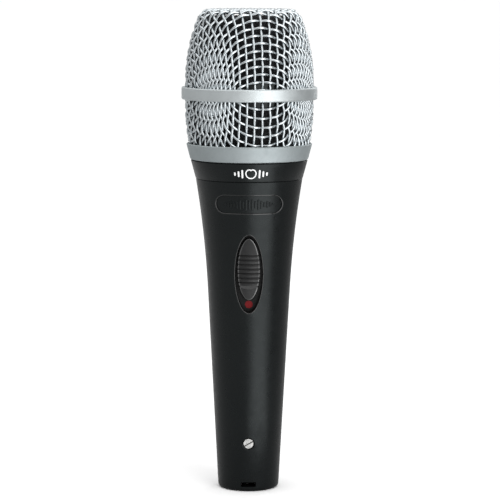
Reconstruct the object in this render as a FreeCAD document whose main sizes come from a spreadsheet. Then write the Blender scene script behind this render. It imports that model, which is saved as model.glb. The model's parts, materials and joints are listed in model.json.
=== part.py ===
"""Handheld dynamic microphone with a slide switch, a screw-on grille and a three-pin connector.

Millimetres, +Z up along the microphone's axis, origin at the middle of the rim at the connector end.
The front, with the switch, faces -Y.
"""

import FreeCAD, Part
import math
import os

import Sketcher

OUT = "parts"

# Driving dimensions: alias, size in millimetres or degrees, meaning.
DIMENSIONS = [
    ("rim_radius", 11.87, "outside of the handle at its lower end, before its rounding"),
    ("rim_round", 1.5, "rounding of the lower rim"),
    ("knee_radius", 16.1, "outside of the handle where its straight taper ends"),
    ("knee_level", 79.0, "height where the straight taper ends"),
    ("flare_radius", 401.0, "radius of the flare above the knee"),
    ("handle_top_radius", 20.8, "outside of the handle at its top"),
    ("handle_top_level", 122.4, "top face of the handle"),
    ("handle_wall", 2.3, "wall of the handle at the knee"),
    ("grip_bore_radius", 10.8, "bore just above the connector"),
    ("flare_bore_radius", 17.6, "bore just under the top ring"),
    ("seam_chamfer", 0.25, "chamfer beside each seam"),
    ("opening_round", 0.25, "rounding where name plate field and lock hole meet the handle's surface"),
    ("plate_level", 113.6, "middle of the sunk name plate field"),
    ("plate_length", 25.7, "length of the name plate field"),
    ("plate_height", 7.0, "height of the name plate field"),
    ("plate_sink", 0.45, "depth of the name plate field"),
    ("spigot_radius", 18.9, "fit between handle and top ring"),
    ("spigot_level", 118.5, "foot of the top ring's spigot"),
    ("ring_low_radius", 20.95, "outside of the top ring at its foot"),
    ("ring_high_radius", 22.75, "outside of the top ring at its shoulder"),
    ("ring_shoulder_level", 129.55, "shoulder of the top ring"),
    ("neck_radius", 20.1, "crest of the threaded neck"),
    ("neck_root_radius", 19.6, "root of the threaded neck"),
    ("neck_top_level", 135.4, "top of the threaded neck"),
    ("neck_bore_radius", 18.0, "bore of the top ring"),
    ("ledge_radius", 15.5, "opening of the ledge that carries the shock mount"),
    ("ledge_level", 121.0, "top of that ledge"),
    ("collar_play", 0.2, "radial play between neck and collar"),
    ("collar_foot_level", 129.85, "foot of the grille collar"),
    ("collar_foot_radius", 22.75, "outside of the collar at its foot"),
    ("collar_lip_level", 136.0, "lip of the collar"),
    ("collar_lip_radius", 24.5, "outside of the collar at its lip"),
    ("collar_chamfer", 0.3, "chamfers of the collar"),
    ("collar_slot_level", 131.8, "floor of the slot that holds the mesh"),
    ("collar_sleeve_level", 134.4, "top of the collar's threaded sleeve"),
    ("mesh_radius", 24.95, "outside of the mesh at its widest"),
    ("mesh_thickness", 1.6, "two wires lying over each other"),
    ("mesh_play", 0.05, "play of the mesh in the collar's slot"),
    ("lip_play", 0.15, "play between the collar's lip and the mesh"),
    ("mesh_split_level", 155.5, "where the upper and the lower mesh meet"),
    ("dome_side_radius", 66.0, "side of the upper mesh"),
    ("dome_side_level", 160.0, "where that side starts to lean in"),
    ("dome_corner_radius", 5.0, "rounding between that side and the flat top"),
    ("grille_top_level", 188.0, "top of the grille"),
    ("bowl_side_radius", 73.0, "side of the lower mesh"),
    ("bowl_side_level", 150.0, "where that side starts to lean in"),
    ("bowl_foot_level", 131.9, "lower edge of the lower mesh"),
    ("band_radius", 26.4, "outside of the centre band"),
    ("band_foot_level", 153.1, "foot of the centre band"),
    ("band_top_level", 157.9, "top of the centre band"),
    ("band_round", 0.55, "rounding of the centre band"),
    ("hoop_thickness", 0.75, "wall of the hoop inside the mesh"),
    ("hoop_reach", 4.5, "how far the hoop reaches to each side of the split"),
    ("foam_inset", 2.75, "distance of the foam's outside below the mesh's outside"),
    ("foam_thickness", 2.0, "thickness of the foam liners"),
    ("foam_gap", 0.3, "gap between the two foam liners"),
    ("foam_foot_level", 136.0, "lower edge of the foam sleeve"),
    ("switch_level", 86.4, "middle of the switch"),
    ("switch_radius", 16.565, "outside of the handle at that height"),
    ("switch_lean", 4.3, "lean of the switch, in degrees"),
    ("window_width", 11.2, "width of the oval window"),
    ("window_length", 31.0, "length of the oval window"),
    ("bezel_wall", 0.4, "wall of the bezel"),
    ("bezel_sink", 0.9, "how far the bezel's rim lies below the handle's surface"),
    ("bezel_floor_depth", 2.4, "depth of the bezel's floor"),
    ("bezel_back_depth", 3.6, "depth of the bezel's back"),
    ("button_width", 8.9, "width of the button"),
    ("button_length", 24.8, "length of the button"),
    ("button_rise", 1.7, "how far above the switch's middle the button sits when on"),
    ("button_brow", 6.25, "where the slope to the upper end starts, above the button's middle"),
    ("button_heel", 5.95, "where the lip to the tail starts, below the button's middle"),
    ("button_lip", 1.65, "length of that lip's slope"),
    ("button_crown_radius", 12.0, "crown of the button across its width"),
    ("button_foot_depth", 2.05, "underside of the button"),
    ("button_tail_depth", 0.1, "where the tail starts at the foot of the lip"),
    ("button_tip_depth", 1.2, "foot of the slopes at the button's two ends"),
    ("button_crest", 0.85, "how far the ribs stand out of the handle"),
    ("rib_pitch", 1.76, "distance between two ribs"),
    ("rib_margin", 0.65, "distance of the first groove's middle below the upper slope"),
    ("rib_groove_radius", 0.45, "groove between two ribs"),
    ("rib_groove_depth", 0.4, "depth of that groove"),
    ("dot_radius", 1.5, "red dot"),
    ("dot_drop", 12.3, "distance of the dot below the middle of the switch"),
    ("dot_sink", 0.3, "how deep the dot is let into the bezel's floor"),
    ("dot_rise", 0.05, "how far the dot stands out of that floor"),
    ("post_width", 3.0, "width of the button's post"),
    ("post_length", 6.0, "length of the button's post"),
    ("post_play", 0.4, "play around the post"),
    ("switch_travel", 3.6, "travel of the switch"),
    ("can_width", 7.6, "width of the switch's can"),
    ("can_length", 20.0, "length of the switch's can"),
    ("can_front_depth", 4.0, "front of the can"),
    ("can_back_depth", 8.2, "back of the can"),
    ("can_wall", 0.4, "sheet of the can"),
    ("base_thickness", 0.8, "insulating base of the switch"),
    ("slider_width", 5.2, "width of the slider"),
    ("slider_length", 8.8, "length of the slider"),
    ("slider_front_depth", 4.8, "front of the slider"),
    ("slider_back_depth", 6.4, "back of the slider"),
    ("contact_width", 2.4, "width of the contact strip"),
    ("contact_length", 6.4, "length of the contact strip"),
    ("contact_thickness", 0.4, "thickness of the contact strip"),
    ("terminal_radius", 0.5, "switch terminal"),
    ("terminal_pitch", 4.0, "distance between two switch terminals"),
    ("terminal_tip_depth", 12.0, "tip of the switch terminals"),
    ("terminal_root", 0.3, "how far each terminal reaches through its base"),
    ("board_width", 12.4, "width of the circuit board"),
    ("board_length", 31.0, "length of the circuit board"),
    ("board_thickness", 1.2, "thickness of the circuit board"),
    ("boss_radius", 1.6, "boss behind the bezel"),
    ("boss_reach", 12.3, "distance of each boss from the middle of the switch"),
    ("board_screw_radius", 0.6, "shank of a board screw"),
    ("board_screw_head_radius", 1.4, "head of a board screw"),
    ("board_screw_head_height", 0.9, "height of that head"),
    ("board_screw_grip", 4.0, "length of that shank in the boss"),
    ("socket_radius", 8.1, "bore that takes the plug's nose"),
    ("socket_floor_level", 15.0, "floor of that bore"),
    ("insert_radius", 9.6, "outside of the connector insert"),
    ("insert_foot_level", 0.6, "mouth of the connector insert"),
    ("insert_top_level", 22.6, "top of the connector insert"),
    ("shoulder_radius", 9.0, "opening of the shoulder above the insert"),
    ("shoulder_level", 24.6, "top of that shoulder"),
    ("pin_radius", 1.2, "contact pin"),
    ("shank_radius", 1.7, "shank of a contact pin, where the insert holds it"),
    ("pin_tip_level", 4.6, "tip of the contact pins"),
    ("pin_tip_round", 0.6, "rounding of the tip"),
    ("pin_side", 3.95, "sideways place of pins 1 and 2"),
    ("pin_front", -0.9, "place of pins 1 and 2 across the front"),
    ("pin_back", 4.05, "place of pin 3 across the front"),
    ("cup_radius", 1.5, "outside of a solder cup"),
    ("cup_bore_radius", 0.95, "bore of a solder cup"),
    ("cup_top_level", 27.0, "top of the solder cups"),
    ("cup_floor_level", 24.0, "floor of the solder cups"),
    ("latch_width", 5.8, "width of the latch notch"),
    ("latch_foot_level", 1.9, "foot of the latch notch"),
    ("latch_top_level", 3.8, "top of the latch notch"),
    ("lock_screw_level", 19.2, "lock screw of the connector"),
    ("lock_screw_radius", 1.9, "radius of the lock screw"),
    ("lock_screw_length", 5.5, "length of the lock screw"),
    ("lock_screw_reach", 12.2, "distance of the lock screw's end from the axis"),
    ("lock_hole_radius", 2.25, "hole in the handle over the lock screw"),
    ("lock_slot_width", 0.7, "screwdriver slot"),
    ("lock_slot_depth", 1.5, "depth of the screwdriver slot"),
    ("lock_slot_turn", 30.0, "turn of that slot, in degrees"),
    ("clip_thickness", 0.4, "sheet of the grounding clip"),
    ("clip_width", 3.4, "width of the grounding clip"),
    ("clip_reach", 8.6, "distance of the clip's tab from the axis"),
    ("clip_margin", 1.0, "sheet left beside the clip's hole"),
    ("capsule_radius", 14.5, "outside of the capsule's case"),
    ("capsule_wall", 0.9, "wall of the capsule's case"),
    ("capsule_foot_level", 138.0, "underside of the capsule's case"),
    ("capsule_floor_level", 139.2, "floor inside the capsule's case"),
    ("stem_radius", 10.5, "outside of the stem"),
    ("stem_bore_radius", 9.3, "bore of the stem"),
    ("stem_foot_level", 110.6, "foot of the stem"),
    ("felt_thickness", 1.2, "felt under the magnet's yoke"),
    ("yoke_bore_radius", 11.6, "inside of the yoke"),
    ("yoke_floor", 2.6, "floor of the yoke"),
    ("magnet_radius", 8.0, "magnet"),
    ("gap_foot_level", 149.6, "foot of the magnetic gap"),
    ("gap_top_level", 152.6, "top of the magnetic gap"),
    ("gap_radius", 9.6, "outside of the magnetic gap"),
    ("pole_radius", 8.4, "pole piece"),
    ("coil_radius", 9.25, "outside of the voice coil"),
    ("coil_wall", 0.5, "wall of the voice coil"),
    ("coil_foot_level", 150.3, "foot of the voice coil"),
    ("film_level", 154.6, "underside of the diaphragm's rim"),
    ("film_thickness", 0.15, "thickness of the diaphragm"),
    ("film_radius", 14.3, "radius of the diaphragm"),
    ("film_roll_inside", 9.5, "inside of the diaphragm's roll"),
    ("film_roll_outside", 13.2, "outside of the diaphragm's roll"),
    ("film_roll_radius", 2.3, "curvature of the diaphragm's roll"),
    ("film_dome_radius", 16.5, "curvature of the diaphragm's dome"),
    ("film_ring_height", 1.0, "height of the diaphragm's clamping ring"),
    ("cap_radius", 15.3, "outside of the front cap"),
    ("cap_foot_level", 152.0, "foot of the front cap's skirt"),
    ("cap_top_level", 161.0, "top of the front cap"),
    ("cap_plate", 1.2, "thickness of the front cap's plate"),
    ("cap_hole_radius", 1.1, "hole in the front cap"),
    ("cap_inner_circle", 4.6, "inner circle of holes"),
    ("cap_outer_circle", 9.6, "outer circle of holes"),
    ("cloth_thickness", 0.3, "cloth under the front cap"),
    ("cloth_radius", 14.35, "radius of that cloth"),
    ("mount_rim_radius", 14.6, "inside of the shock mount's rim"),
    ("mount_rim_height", 4.2, "height of the shock mount's rim"),
    ("mount_sleeve_radius", 12.4, "outside of the shock mount's sleeve"),
    ("mount_sleeve_foot_level", 116.6, "foot of the shock mount's sleeve"),
    ("mount_sleeve_top_level", 129.4, "top of the shock mount's sleeve"),
    ("mount_web", 1.0, "web between rim and sleeve"),
    ("mount_play", 0.05, "play between the sleeve and the stem"),
    ("clamp_bore_radius", 13.8, "bore of the ring that holds the shock mount"),
    ("clamp_height", 2.4, "height of that ring"),
    ("clamp_notch", 2.4, "spanner notch in that ring"),
    ("lug_board_thickness", 1.0, "board at the foot of the stem"),
    ("lug_radius", 0.6, "capsule terminal"),
    ("lug_reach", 4.0, "distance of each capsule terminal from the axis"),
    ("lug_length", 5.0, "length of the capsule terminals"),
    ("lead_radius", 0.6, "insulated lead"),
]

# Points that each lead passes between its two ends, in millimetres.
HOT_ROUTE = [(0.0, 2.0, 91.8), (3.0, 2.6, 98.0), (4.0, 0.0, 103.5)]
COLD_ROUTE = [(-4.0, 0.0, 98.0), (-5.6, 4.8, 84.0), (-5.0, 6.6, 66.0), (-2.4, 6.4, 48.0), (0.0, 4.05, 36.0)]
OUT_ROUTE = [(0.0, 2.6, 83.8), (-1.6, 3.2, 74.0), (-4.4, 1.6, 56.0), (-3.95, -0.9, 38.0)]
GROUND_ROUTE = [(0.0, 4.6, 88.0), (3.2, 5.6, 79.0), (5.0, 2.8, 60.0), (3.95, -0.9, 40.0)]
# Share of its shorter neighbouring run that each bend of a lead takes up.
BEND_SHARE = 0.45
# How far a lead's end stays above the floor of its solder cup.
CUP_CLEARANCE = 0.2
# Grooves across the button.
RIB_GROOVES = 7
# Contacts of the switch and pins of the connector.
SWITCH_TERMINALS = 3
# Holes of the front cap on its inner and on its outer circle.
INNER_HOLES = 6
OUTER_HOLES = 12
# Two places nearer than this are the same place, and an edge nearer than this lies on the handle's skin.
SAME = 1e-3
NEAR_SKIN = 0.02

document = FreeCAD.newDocument("microphone")
sheet = document.addObject("Spreadsheet::Sheet", "dims")
subparts = []


class Dim:
    """A size together with the spreadsheet expression that gives it."""

    def __init__(self, expression, value):
        self.expression = expression
        self.value = value

    def combined(self, sign, other, value):
        return Dim(f"({self.expression} {sign} {as_dim(other).expression})", value)

    def __add__(self, other):
        return self.combined("+", other, self.value + as_dim(other).value)

    def __sub__(self, other):
        return self.combined("-", other, self.value - as_dim(other).value)

    def __mul__(self, other):
        return self.combined("*", other, self.value * as_dim(other).value)

    def __truediv__(self, other):
        return self.combined("/", other, self.value / as_dim(other).value)

    def __neg__(self):
        return Dim(f"(0 - {self.expression})", -self.value)


def as_dim(number):
    """A plain number as a Dim, so that both can stand in one sum."""
    return number if isinstance(number, Dim) else Dim(repr(float(number)), float(number))


def root(square):
    """Square root of a Dim."""
    return Dim(f"sqrt({square.expression})", math.sqrt(square.value))


def cosine(angle):
    """Cosine of a Dim in degrees."""
    return Dim(f"cos({angle.expression})", math.cos(math.radians(angle.value)))


def sine(angle):
    """Sine of a Dim in degrees."""
    return Dim(f"sin({angle.expression})", math.sin(math.radians(angle.value)))


def leg(hypotenuse, other_leg):
    """Second leg of a right-angled triangle."""
    return root(hypotenuse * hypotenuse - other_leg * other_leg)


def filled_sheet():
    """Writes the driving dimensions to the spreadsheet and returns them by alias."""
    sizes = {}
    for row, (alias, value, meaning) in enumerate(DIMENSIONS, start=1):
        sheet.set(f"A{row}", alias)
        sheet.set(f"B{row}", str(value))
        sheet.setAlias(f"B{row}", alias)
        sheet.set(f"C{row}", meaning)
        sizes[alias] = Dim(f"dims.{alias}", value)
    document.recompute()
    return sizes


class Sizes:
    """The driving dimensions as attributes, such as d.pin_radius."""

    def __init__(self, sizes):
        self.__dict__.update(sizes)


d = Sizes(filled_sheet())


def bind(thing, **sizes):
    """Binds properties of an object to their spreadsheet expressions."""
    for name, size in sizes.items():
        thing.setExpression(name, as_dim(size).expression)
    return thing


def placed(thing, x=0, y=0, z=0):
    """Moves an object to a place that follows the spreadsheet."""
    for axis, size in (("x", x), ("y", y), ("z", z)):
        thing.setExpression(f"Placement.Base.{axis}", as_dim(size).expression)
    return thing


def in_switch_frame(thing):
    """Places an object in the switch's leaning frame: +Y is depth below the handle's surface."""
    thing.Placement = FreeCAD.Placement(FreeCAD.Vector(), FreeCAD.Rotation(FreeCAD.Vector(1, 0, 0), 1))
    thing.setExpression("Placement.Rotation.Angle", d.switch_lean.expression)
    return placed(thing, 0, -d.switch_radius, d.switch_level)


def publish(thing, label):
    """Names a finished sub-part, which also names its file."""
    thing.Label = label
    subparts.append(thing)
    return thing


# ---------------------------------------------------------------------------------------------------
# Building blocks


def arc_through(start, end, radius, side):
    """Short arc between two sketch points; side is +1 to bulge left of the way from start to end."""
    chord = end - start
    normal = FreeCAD.Vector(-chord.y, chord.x, 0).normalize() * side
    rise = radius - math.sqrt(radius ** 2 - chord.Length ** 2 / 4)
    return Part.Arc(start, (start + end) * 0.5 + normal * rise, end)


def constrain_place(sketch, geometry, end, x, y):
    """Fixes one end of an edge at a place given by two Dims, or on an axis where one of them is 0."""
    for kind, axis, size in (("DistanceX", -2, x), ("DistanceY", -1, y)):
        if size.value == 0:
            sketch.addConstraint(Sketcher.Constraint("PointOnObject", geometry, end, axis))
        else:
            rule = Sketcher.Constraint(kind, -1, 1, geometry, end, size.value)
            sketch.setExpression(f"Constraints[{sketch.addConstraint(rule)}]", size.expression)


def draw_outline(sketch, corners):
    """Draws a closed outline. A corner is (x, y), or (x, y, radius, side) where an arc starts there."""
    places = [(as_dim(corner[0]), as_dim(corner[1])) for corner in corners]
    points = [FreeCAD.Vector(x.value, y.value, 0) for x, y in places]
    starts = []
    for index, corner in enumerate(corners):
        start, end = points[index], points[(index + 1) % len(points)]
        if len(corner) == 4:
            arc = sketch.addGeometry(arc_through(start, end, as_dim(corner[2]).value, corner[3]))
            first = 1 if sketch.getPoint(arc, 1).distanceToPoint(start) < SAME else 2
            rule = Sketcher.Constraint("Radius", arc, as_dim(corner[2]).value)
            sketch.setExpression(f"Constraints[{sketch.addConstraint(rule)}]", as_dim(corner[2]).expression)
            starts.append((arc, first))
        else:
            starts.append((sketch.addGeometry(Part.LineSegment(start, end)), 1))
    for index, (geometry, first) in enumerate(starts):
        following, following_first = starts[(index + 1) % len(starts)]
        rule = Sketcher.Constraint("Coincident", geometry, 3 - first, following, following_first)
        sketch.addConstraint(rule)
        constrain_place(sketch, geometry, first, *places[index])


def sketch_on(body, role, corners):
    """An outline on one of a body's own origin planes."""
    plane = next(item for item in body.Origin.OriginFeatures if item.Role == role)
    sketch = body.newObject("Sketcher::SketchObject", body.Name + "_outline")
    sketch.AttachmentSupport = (plane, [""])
    sketch.MapMode = "FlatFace"
    document.recompute()
    draw_outline(sketch, corners)
    document.recompute()
    return sketch


def turned(name, corners):
    """A body of revolution about the microphone's axis; corners are (radius, height)."""
    body = document.addObject("PartDesign::Body", name)
    sketch = sketch_on(body, "XZ_Plane", corners)
    feature = body.newObject("PartDesign::Revolution", name + "_turned")
    feature.Profile = sketch
    feature.ReferenceAxis = (sketch, ["V_Axis"])
    feature.Angle = 360
    document.recompute()
    return body


def slab(name, role, corners, length):
    """A flat outline padded to both sides of one of the origin planes."""
    body = document.addObject("PartDesign::Body", name)
    feature = body.newObject("PartDesign::Pad", name + "_pad")
    sketch = sketch_on(body, role, corners)
    feature.Profile = sketch
    bind(feature, Length=length)
    feature.Midplane = True
    document.recompute()
    return body


def rounded(body, radius, places):
    """Rounds the circular edges of a body that have the given radii and heights."""
    base = body.Tip
    names = []
    for index, edge in enumerate(base.Shape.Edges, start=1):
        curve = edge.Curve
        if isinstance(curve, Part.Circle):
            for edge_radius, level in places:
                near = abs(curve.Radius - edge_radius.value) < SAME
                if near and abs(curve.Center.z - level.value) < SAME:
                    names.append(f"Edge{index}")
    feature = body.newObject("PartDesign::Fillet", body.Name + "_rounding")
    feature.Base = (base, sorted(set(names)))
    bind(feature, Radius=radius)
    document.recompute()
    return body


def cylinder(name, radius, height, x=0, y=0, z=0):
    """An upright cylinder."""
    thing = document.addObject("Part::Cylinder", name)
    bind(thing, Radius=radius, Height=height)
    return placed(thing, x, y, z)


def rod(name, radius, near, far, x=0, z=0):
    """A cylinder along Y from near to far."""
    thing = document.addObject("Part::Cylinder", name)
    thing.Placement = FreeCAD.Placement(FreeCAD.Vector(), FreeCAD.Rotation(FreeCAD.Vector(1, 0, 0), -90))
    bind(thing, Radius=radius, Height=as_dim(far) - near)
    return placed(thing, x, near, z)


def block(name, width, near, far, foot, top, x=0):
    """A box of a given width about x, from near to far along Y and from foot to top along Z."""
    thing = document.addObject("Part::Box", name)
    bind(thing, Length=width, Width=as_dim(far) - near, Height=as_dim(top) - foot)
    return placed(thing, as_dim(x) - as_dim(width) / 2, near, foot)


def oval(name, width, length, near, far, level=0):
    """An elliptical prism along Y, its long axis upright and its middle at a level."""
    ellipse = document.addObject("Part::Ellipse", name + "_ellipse")
    bind(ellipse, MajorRadius=as_dim(length) / 2, MinorRadius=as_dim(width) / 2)
    upright, across, inward = FreeCAD.Vector(0, 0, 1), FreeCAD.Vector(1, 0, 0), FreeCAD.Vector(0, 1, 0)
    turn = FreeCAD.Rotation(upright, across, inward, "ZXY")
    ellipse.Placement = FreeCAD.Placement(FreeCAD.Vector(), turn)
    placed(ellipse, 0, near, level)
    prism = document.addObject("Part::Extrusion", name)
    prism.Base = ellipse
    prism.DirMode = "Custom"
    prism.Dir = FreeCAD.Vector(0, 1, 0)
    prism.Solid = True
    return bind(prism, LengthFwd=as_dim(far) - near)


def combined(kind, name, shapes):
    """A boolean of several objects: MultiFuse, MultiCommon or Compound."""
    thing = document.addObject("Part::" + kind, name)
    if kind == "Compound":
        thing.Links = shapes
    else:
        thing.Shapes = shapes
    document.recompute()
    return thing


def cut(name, base, tools):
    """The base without its tools."""
    thing = document.addObject("Part::Cut", name)
    thing.Base = base
    thing.Tool = tools[0] if len(tools) == 1 else combined("MultiFuse", name + "_tools", tools)
    document.recompute()
    return thing


def lead(label, points):
    """An insulated lead: straight runs joined by tangent arcs, as large as their runs allow."""
    corners = [FreeCAD.Vector(*point) for point in points]
    edges = []
    start = corners[0]
    for before, corner, after in zip(corners, corners[1:], corners[2:]):
        back, ahead = before - corner, after - corner
        half_turn = (math.pi - back.getAngle(ahead)) / 2
        cut_back = BEND_SHARE * min(back.Length, ahead.Length)
        radius = cut_back / math.tan(half_turn)
        first = corner + back.normalize() * cut_back
        last = corner + ahead.normalize() * cut_back
        centre = corner + (back + ahead).normalize() * math.hypot(radius, cut_back)
        middle = centre + (corner - centre).normalize() * radius
        edges.append(Part.LineSegment(start, first).toShape())
        edges.append(Part.Arc(first, middle, last).toShape())
        start = last
        print(f"{label}: bend radius {radius:.1f} mm")
    edges.append(Part.LineSegment(start, corners[-1]).toShape())
    route = Part.Wire(edges)
    section = Part.Circle(corners[0], corners[1] - corners[0], d.lead_radius.value).toShape()
    thing = document.addObject("Part::Feature", label)
    thing.Shape = route.makePipeShell([Part.Wire(section)], True, False)
    swept = math.pi * d.lead_radius.value ** 2 * route.Length
    share = thing.Shape.Volume / swept
    print(f"{label}: {route.Length:.1f} mm long, volume {share:.4f} of section x length")
    return publish(thing, label)


def switch_point(depth, rise):
    """A point of the switch's leaning frame in the microphone's frame."""
    lean = math.radians(d.switch_lean.value)
    y = -d.switch_radius.value + depth * math.cos(lean) - rise * math.sin(lean)
    return (0.0, y, d.switch_level.value + depth * math.sin(lean) + rise * math.cos(lean))


# ---------------------------------------------------------------------------------------------------
# Handle, name plate field and top ring

# How far a cutting tool starts outside the handle's surface, and how far one overshoots a flat face.
REACH = 4
OVERCUT = 1


def handle_skin(name, sink):
    """A solid with the handle's outer surface, sunk by a small depth."""
    return turned(name, [
        (0, 0),
        (d.rim_radius - sink, 0),
        (d.knee_radius - sink, d.knee_level, d.flare_radius, 1),
        (d.handle_top_radius - sink, d.handle_top_level - d.seam_chamfer),
        (0, d.handle_top_level - d.seam_chamfer),
    ])


def plate_field():
    """What the name plate field takes out of the handle: a long field with round ends."""
    end_radius = d.plate_height / 2
    half = d.plate_length / 2 - end_radius
    far = -d.knee_radius / 2
    near = -(d.handle_top_radius + REACH)
    field = combined("MultiFuse", "plate_prism", [
        block("plate_middle", half * 2, near, far, d.plate_level - end_radius, d.plate_level + end_radius),
        rod("plate_left", end_radius, near, far, -half, d.plate_level),
        rod("plate_right", end_radius, near, far, half, d.plate_level),
    ])
    return cut("plate_recess", field, [handle_skin("plate_floor", d.plate_sink)])


def opening_edges(shape):
    """Numbers of the edges where name plate field and lock hole meet the handle's outer surface."""
    skin = handle_skin("edge_skin", as_dim(0)).Shape
    openings = ((d.plate_level, d.plate_height), (d.lock_screw_level, d.lock_hole_radius))
    found = []
    for index, edge in enumerate(shape.Edges, start=1):
        middle = edge.valueAt((edge.FirstParameter + edge.LastParameter) / 2)
        beside = any(abs(middle.z - level.value) < reach.value for level, reach in openings)
        if middle.y < -OVERCUT and beside:
            gap = min(face.distToShape(Part.Vertex(middle))[0] for face in skin.Faces)
            if gap < NEAR_SKIN:
                found.append(index)
    return found


def latch_notch(name):
    """The notch through the front wall in which the plug's latch snaps."""
    near, far = -(d.rim_radius + REACH), -d.socket_radius + OVERCUT
    return block(name, d.latch_width, near, far, d.latch_foot_level, d.latch_top_level)


def make_handle():
    shell = turned("handle_shell", [
        (d.insert_radius, 0),
        (d.rim_radius, 0),
        (d.knee_radius, d.knee_level, d.flare_radius, 1),
        (d.handle_top_radius, d.handle_top_level - d.seam_chamfer),
        (d.handle_top_radius - d.seam_chamfer, d.handle_top_level),
        (d.spigot_radius, d.handle_top_level),
        (d.spigot_radius, d.spigot_level),
        (d.flare_bore_radius, d.spigot_level),
        (d.knee_radius - d.handle_wall, d.knee_level),
        (d.grip_bore_radius, d.shoulder_level),
        (d.shoulder_radius, d.shoulder_level),
        (d.shoulder_radius, d.insert_top_level),
        (d.insert_radius, d.insert_top_level),
    ])
    rounded(shell, d.rim_round, [(d.rim_radius, as_dim(0))])
    window = in_switch_frame(oval("switch_window", d.window_width, d.window_length, -REACH, REACH))
    lock_hole = rod("lock_hole", d.lock_hole_radius, -(d.rim_radius + REACH), -d.insert_radius + OVERCUT,
                    0, d.lock_screw_level)
    tools = [window, lock_hole, latch_notch("handle_latch_notch"), plate_field()]
    opened = cut("handle_cut", shell, tools)
    rounding = document.addObject("Part::Fillet", "handle_edges")
    rounding.Base = opened
    radius = d.opening_round.value
    rounding.Edges = [(index, radius, radius) for index in opening_edges(opened.Shape)]
    document.recompute()
    return publish(rounding, "handle")


def make_top_ring():
    relief = d.seam_chamfer * 2
    ring = turned("top_ring_body", [
        (d.ledge_radius, d.spigot_level),
        (d.spigot_radius, d.spigot_level),
        (d.spigot_radius, d.handle_top_level),
        (d.ring_low_radius - d.seam_chamfer, d.handle_top_level),
        (d.ring_low_radius, d.handle_top_level + d.seam_chamfer),
        (d.ring_high_radius, d.ring_shoulder_level - d.seam_chamfer),
        (d.ring_high_radius - d.seam_chamfer, d.ring_shoulder_level),
        (d.neck_root_radius, d.ring_shoulder_level),
        (d.neck_root_radius, d.ring_shoulder_level + relief),
        (d.neck_radius, d.ring_shoulder_level + relief * 2),
        (d.neck_radius, d.neck_top_level - relief),
        (d.neck_root_radius, d.neck_top_level),
        (d.neck_bore_radius, d.neck_top_level),
        (d.neck_bore_radius, d.ledge_level),
        (d.ledge_radius, d.ledge_level),
    ])
    return publish(ring, "handle_top_ring")


# ---------------------------------------------------------------------------------------------------
# Grille: collar, two bowls of woven wire, centre band, hoop and foam liners


def dome_corners(inset):
    """Outline of the upper mesh from its widest place to the edge of its flat top, moved inwards."""
    centre = d.mesh_radius - d.dome_side_radius
    arm = d.dome_side_radius - d.dome_corner_radius
    rise = d.grille_top_level - d.dome_corner_radius - d.dome_side_level
    reach = leg(arm, rise)
    side, corner = d.dome_side_radius - inset, d.dome_corner_radius - inset
    return [
        (d.mesh_radius - inset, d.dome_side_level, side, -1),
        (centre + reach * side / arm, d.dome_side_level + rise * side / arm, corner, -1),
        (centre + reach, d.grille_top_level - inset),
    ]


def reversed_corners(corners):
    """The same outline drawn the other way round, with each arc kept."""
    places = [corner[:2] for corner in corners][::-1]
    arcs = [corner[2:] for corner in corners[:-1]][::-1]
    return [place + (arc[0], -arc[1]) for place, arc in zip(places, arcs)] + [places[-1]]


def bowl_radius(inset, level):
    """Radius of the lower mesh at a height, moved inwards."""
    side = d.bowl_side_radius - inset
    return d.mesh_radius - d.bowl_side_radius + leg(side, d.bowl_side_level - level)


def dome_shell(name, foot, outer_inset, inner_inset):
    """A shell between two insets of the upper mesh's outline."""
    return turned(name, [
        (d.mesh_radius - inner_inset, foot),
        (d.mesh_radius - outer_inset, foot),
        *dome_corners(outer_inset),
        (0, d.grille_top_level - outer_inset),
        (0, d.grille_top_level - inner_inset),
        *reversed_corners(dome_corners(inner_inset)),
    ])


def bowl_shell(name, foot, top, outer_inset, inner_inset):
    """A shell between two insets of the lower mesh's outline."""
    return turned(name, [
        (bowl_radius(inner_inset, foot), foot),
        (bowl_radius(outer_inset, foot), foot, d.bowl_side_radius - outer_inset, -1),
        (d.mesh_radius - outer_inset, d.bowl_side_level),
        (d.mesh_radius - outer_inset, top),
        (d.mesh_radius - inner_inset, top),
        (d.mesh_radius - inner_inset, d.bowl_side_level, d.bowl_side_radius - inner_inset, 1),
    ])


def make_collar():
    female = d.neck_radius + d.collar_play
    slot_inside = bowl_radius(d.mesh_thickness, d.collar_slot_level) - d.mesh_play
    slot_outside = bowl_radius(as_dim(0), d.collar_slot_level) + d.mesh_play
    lip_inside = bowl_radius(as_dim(0), d.collar_lip_level) + d.lip_play
    sleeve_outside = bowl_radius(d.mesh_thickness, d.collar_sleeve_level) - d.mesh_play
    collar = turned("collar_body", [
        (female, d.collar_foot_level),
        (d.collar_foot_radius, d.collar_foot_level),
        (d.collar_foot_radius + d.collar_chamfer, d.collar_foot_level + d.collar_chamfer),
        (d.collar_lip_radius, d.collar_lip_level - d.collar_chamfer),
        (d.collar_lip_radius - d.collar_chamfer, d.collar_lip_level),
        (lip_inside, d.collar_lip_level),
        (slot_outside, d.collar_slot_level),
        (slot_inside, d.collar_slot_level),
        (sleeve_outside, d.collar_sleeve_level),
        (female, d.collar_sleeve_level),
    ])
    return publish(collar, "grille_collar")


def make_meshes():
    none = as_dim(0)
    publish(dome_shell("upper_mesh_body", d.mesh_split_level, none, d.mesh_thickness), "upper_mesh")
    lower = bowl_shell("lower_mesh_body", d.bowl_foot_level, d.mesh_split_level, none, d.mesh_thickness)
    publish(lower, "lower_mesh")


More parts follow.
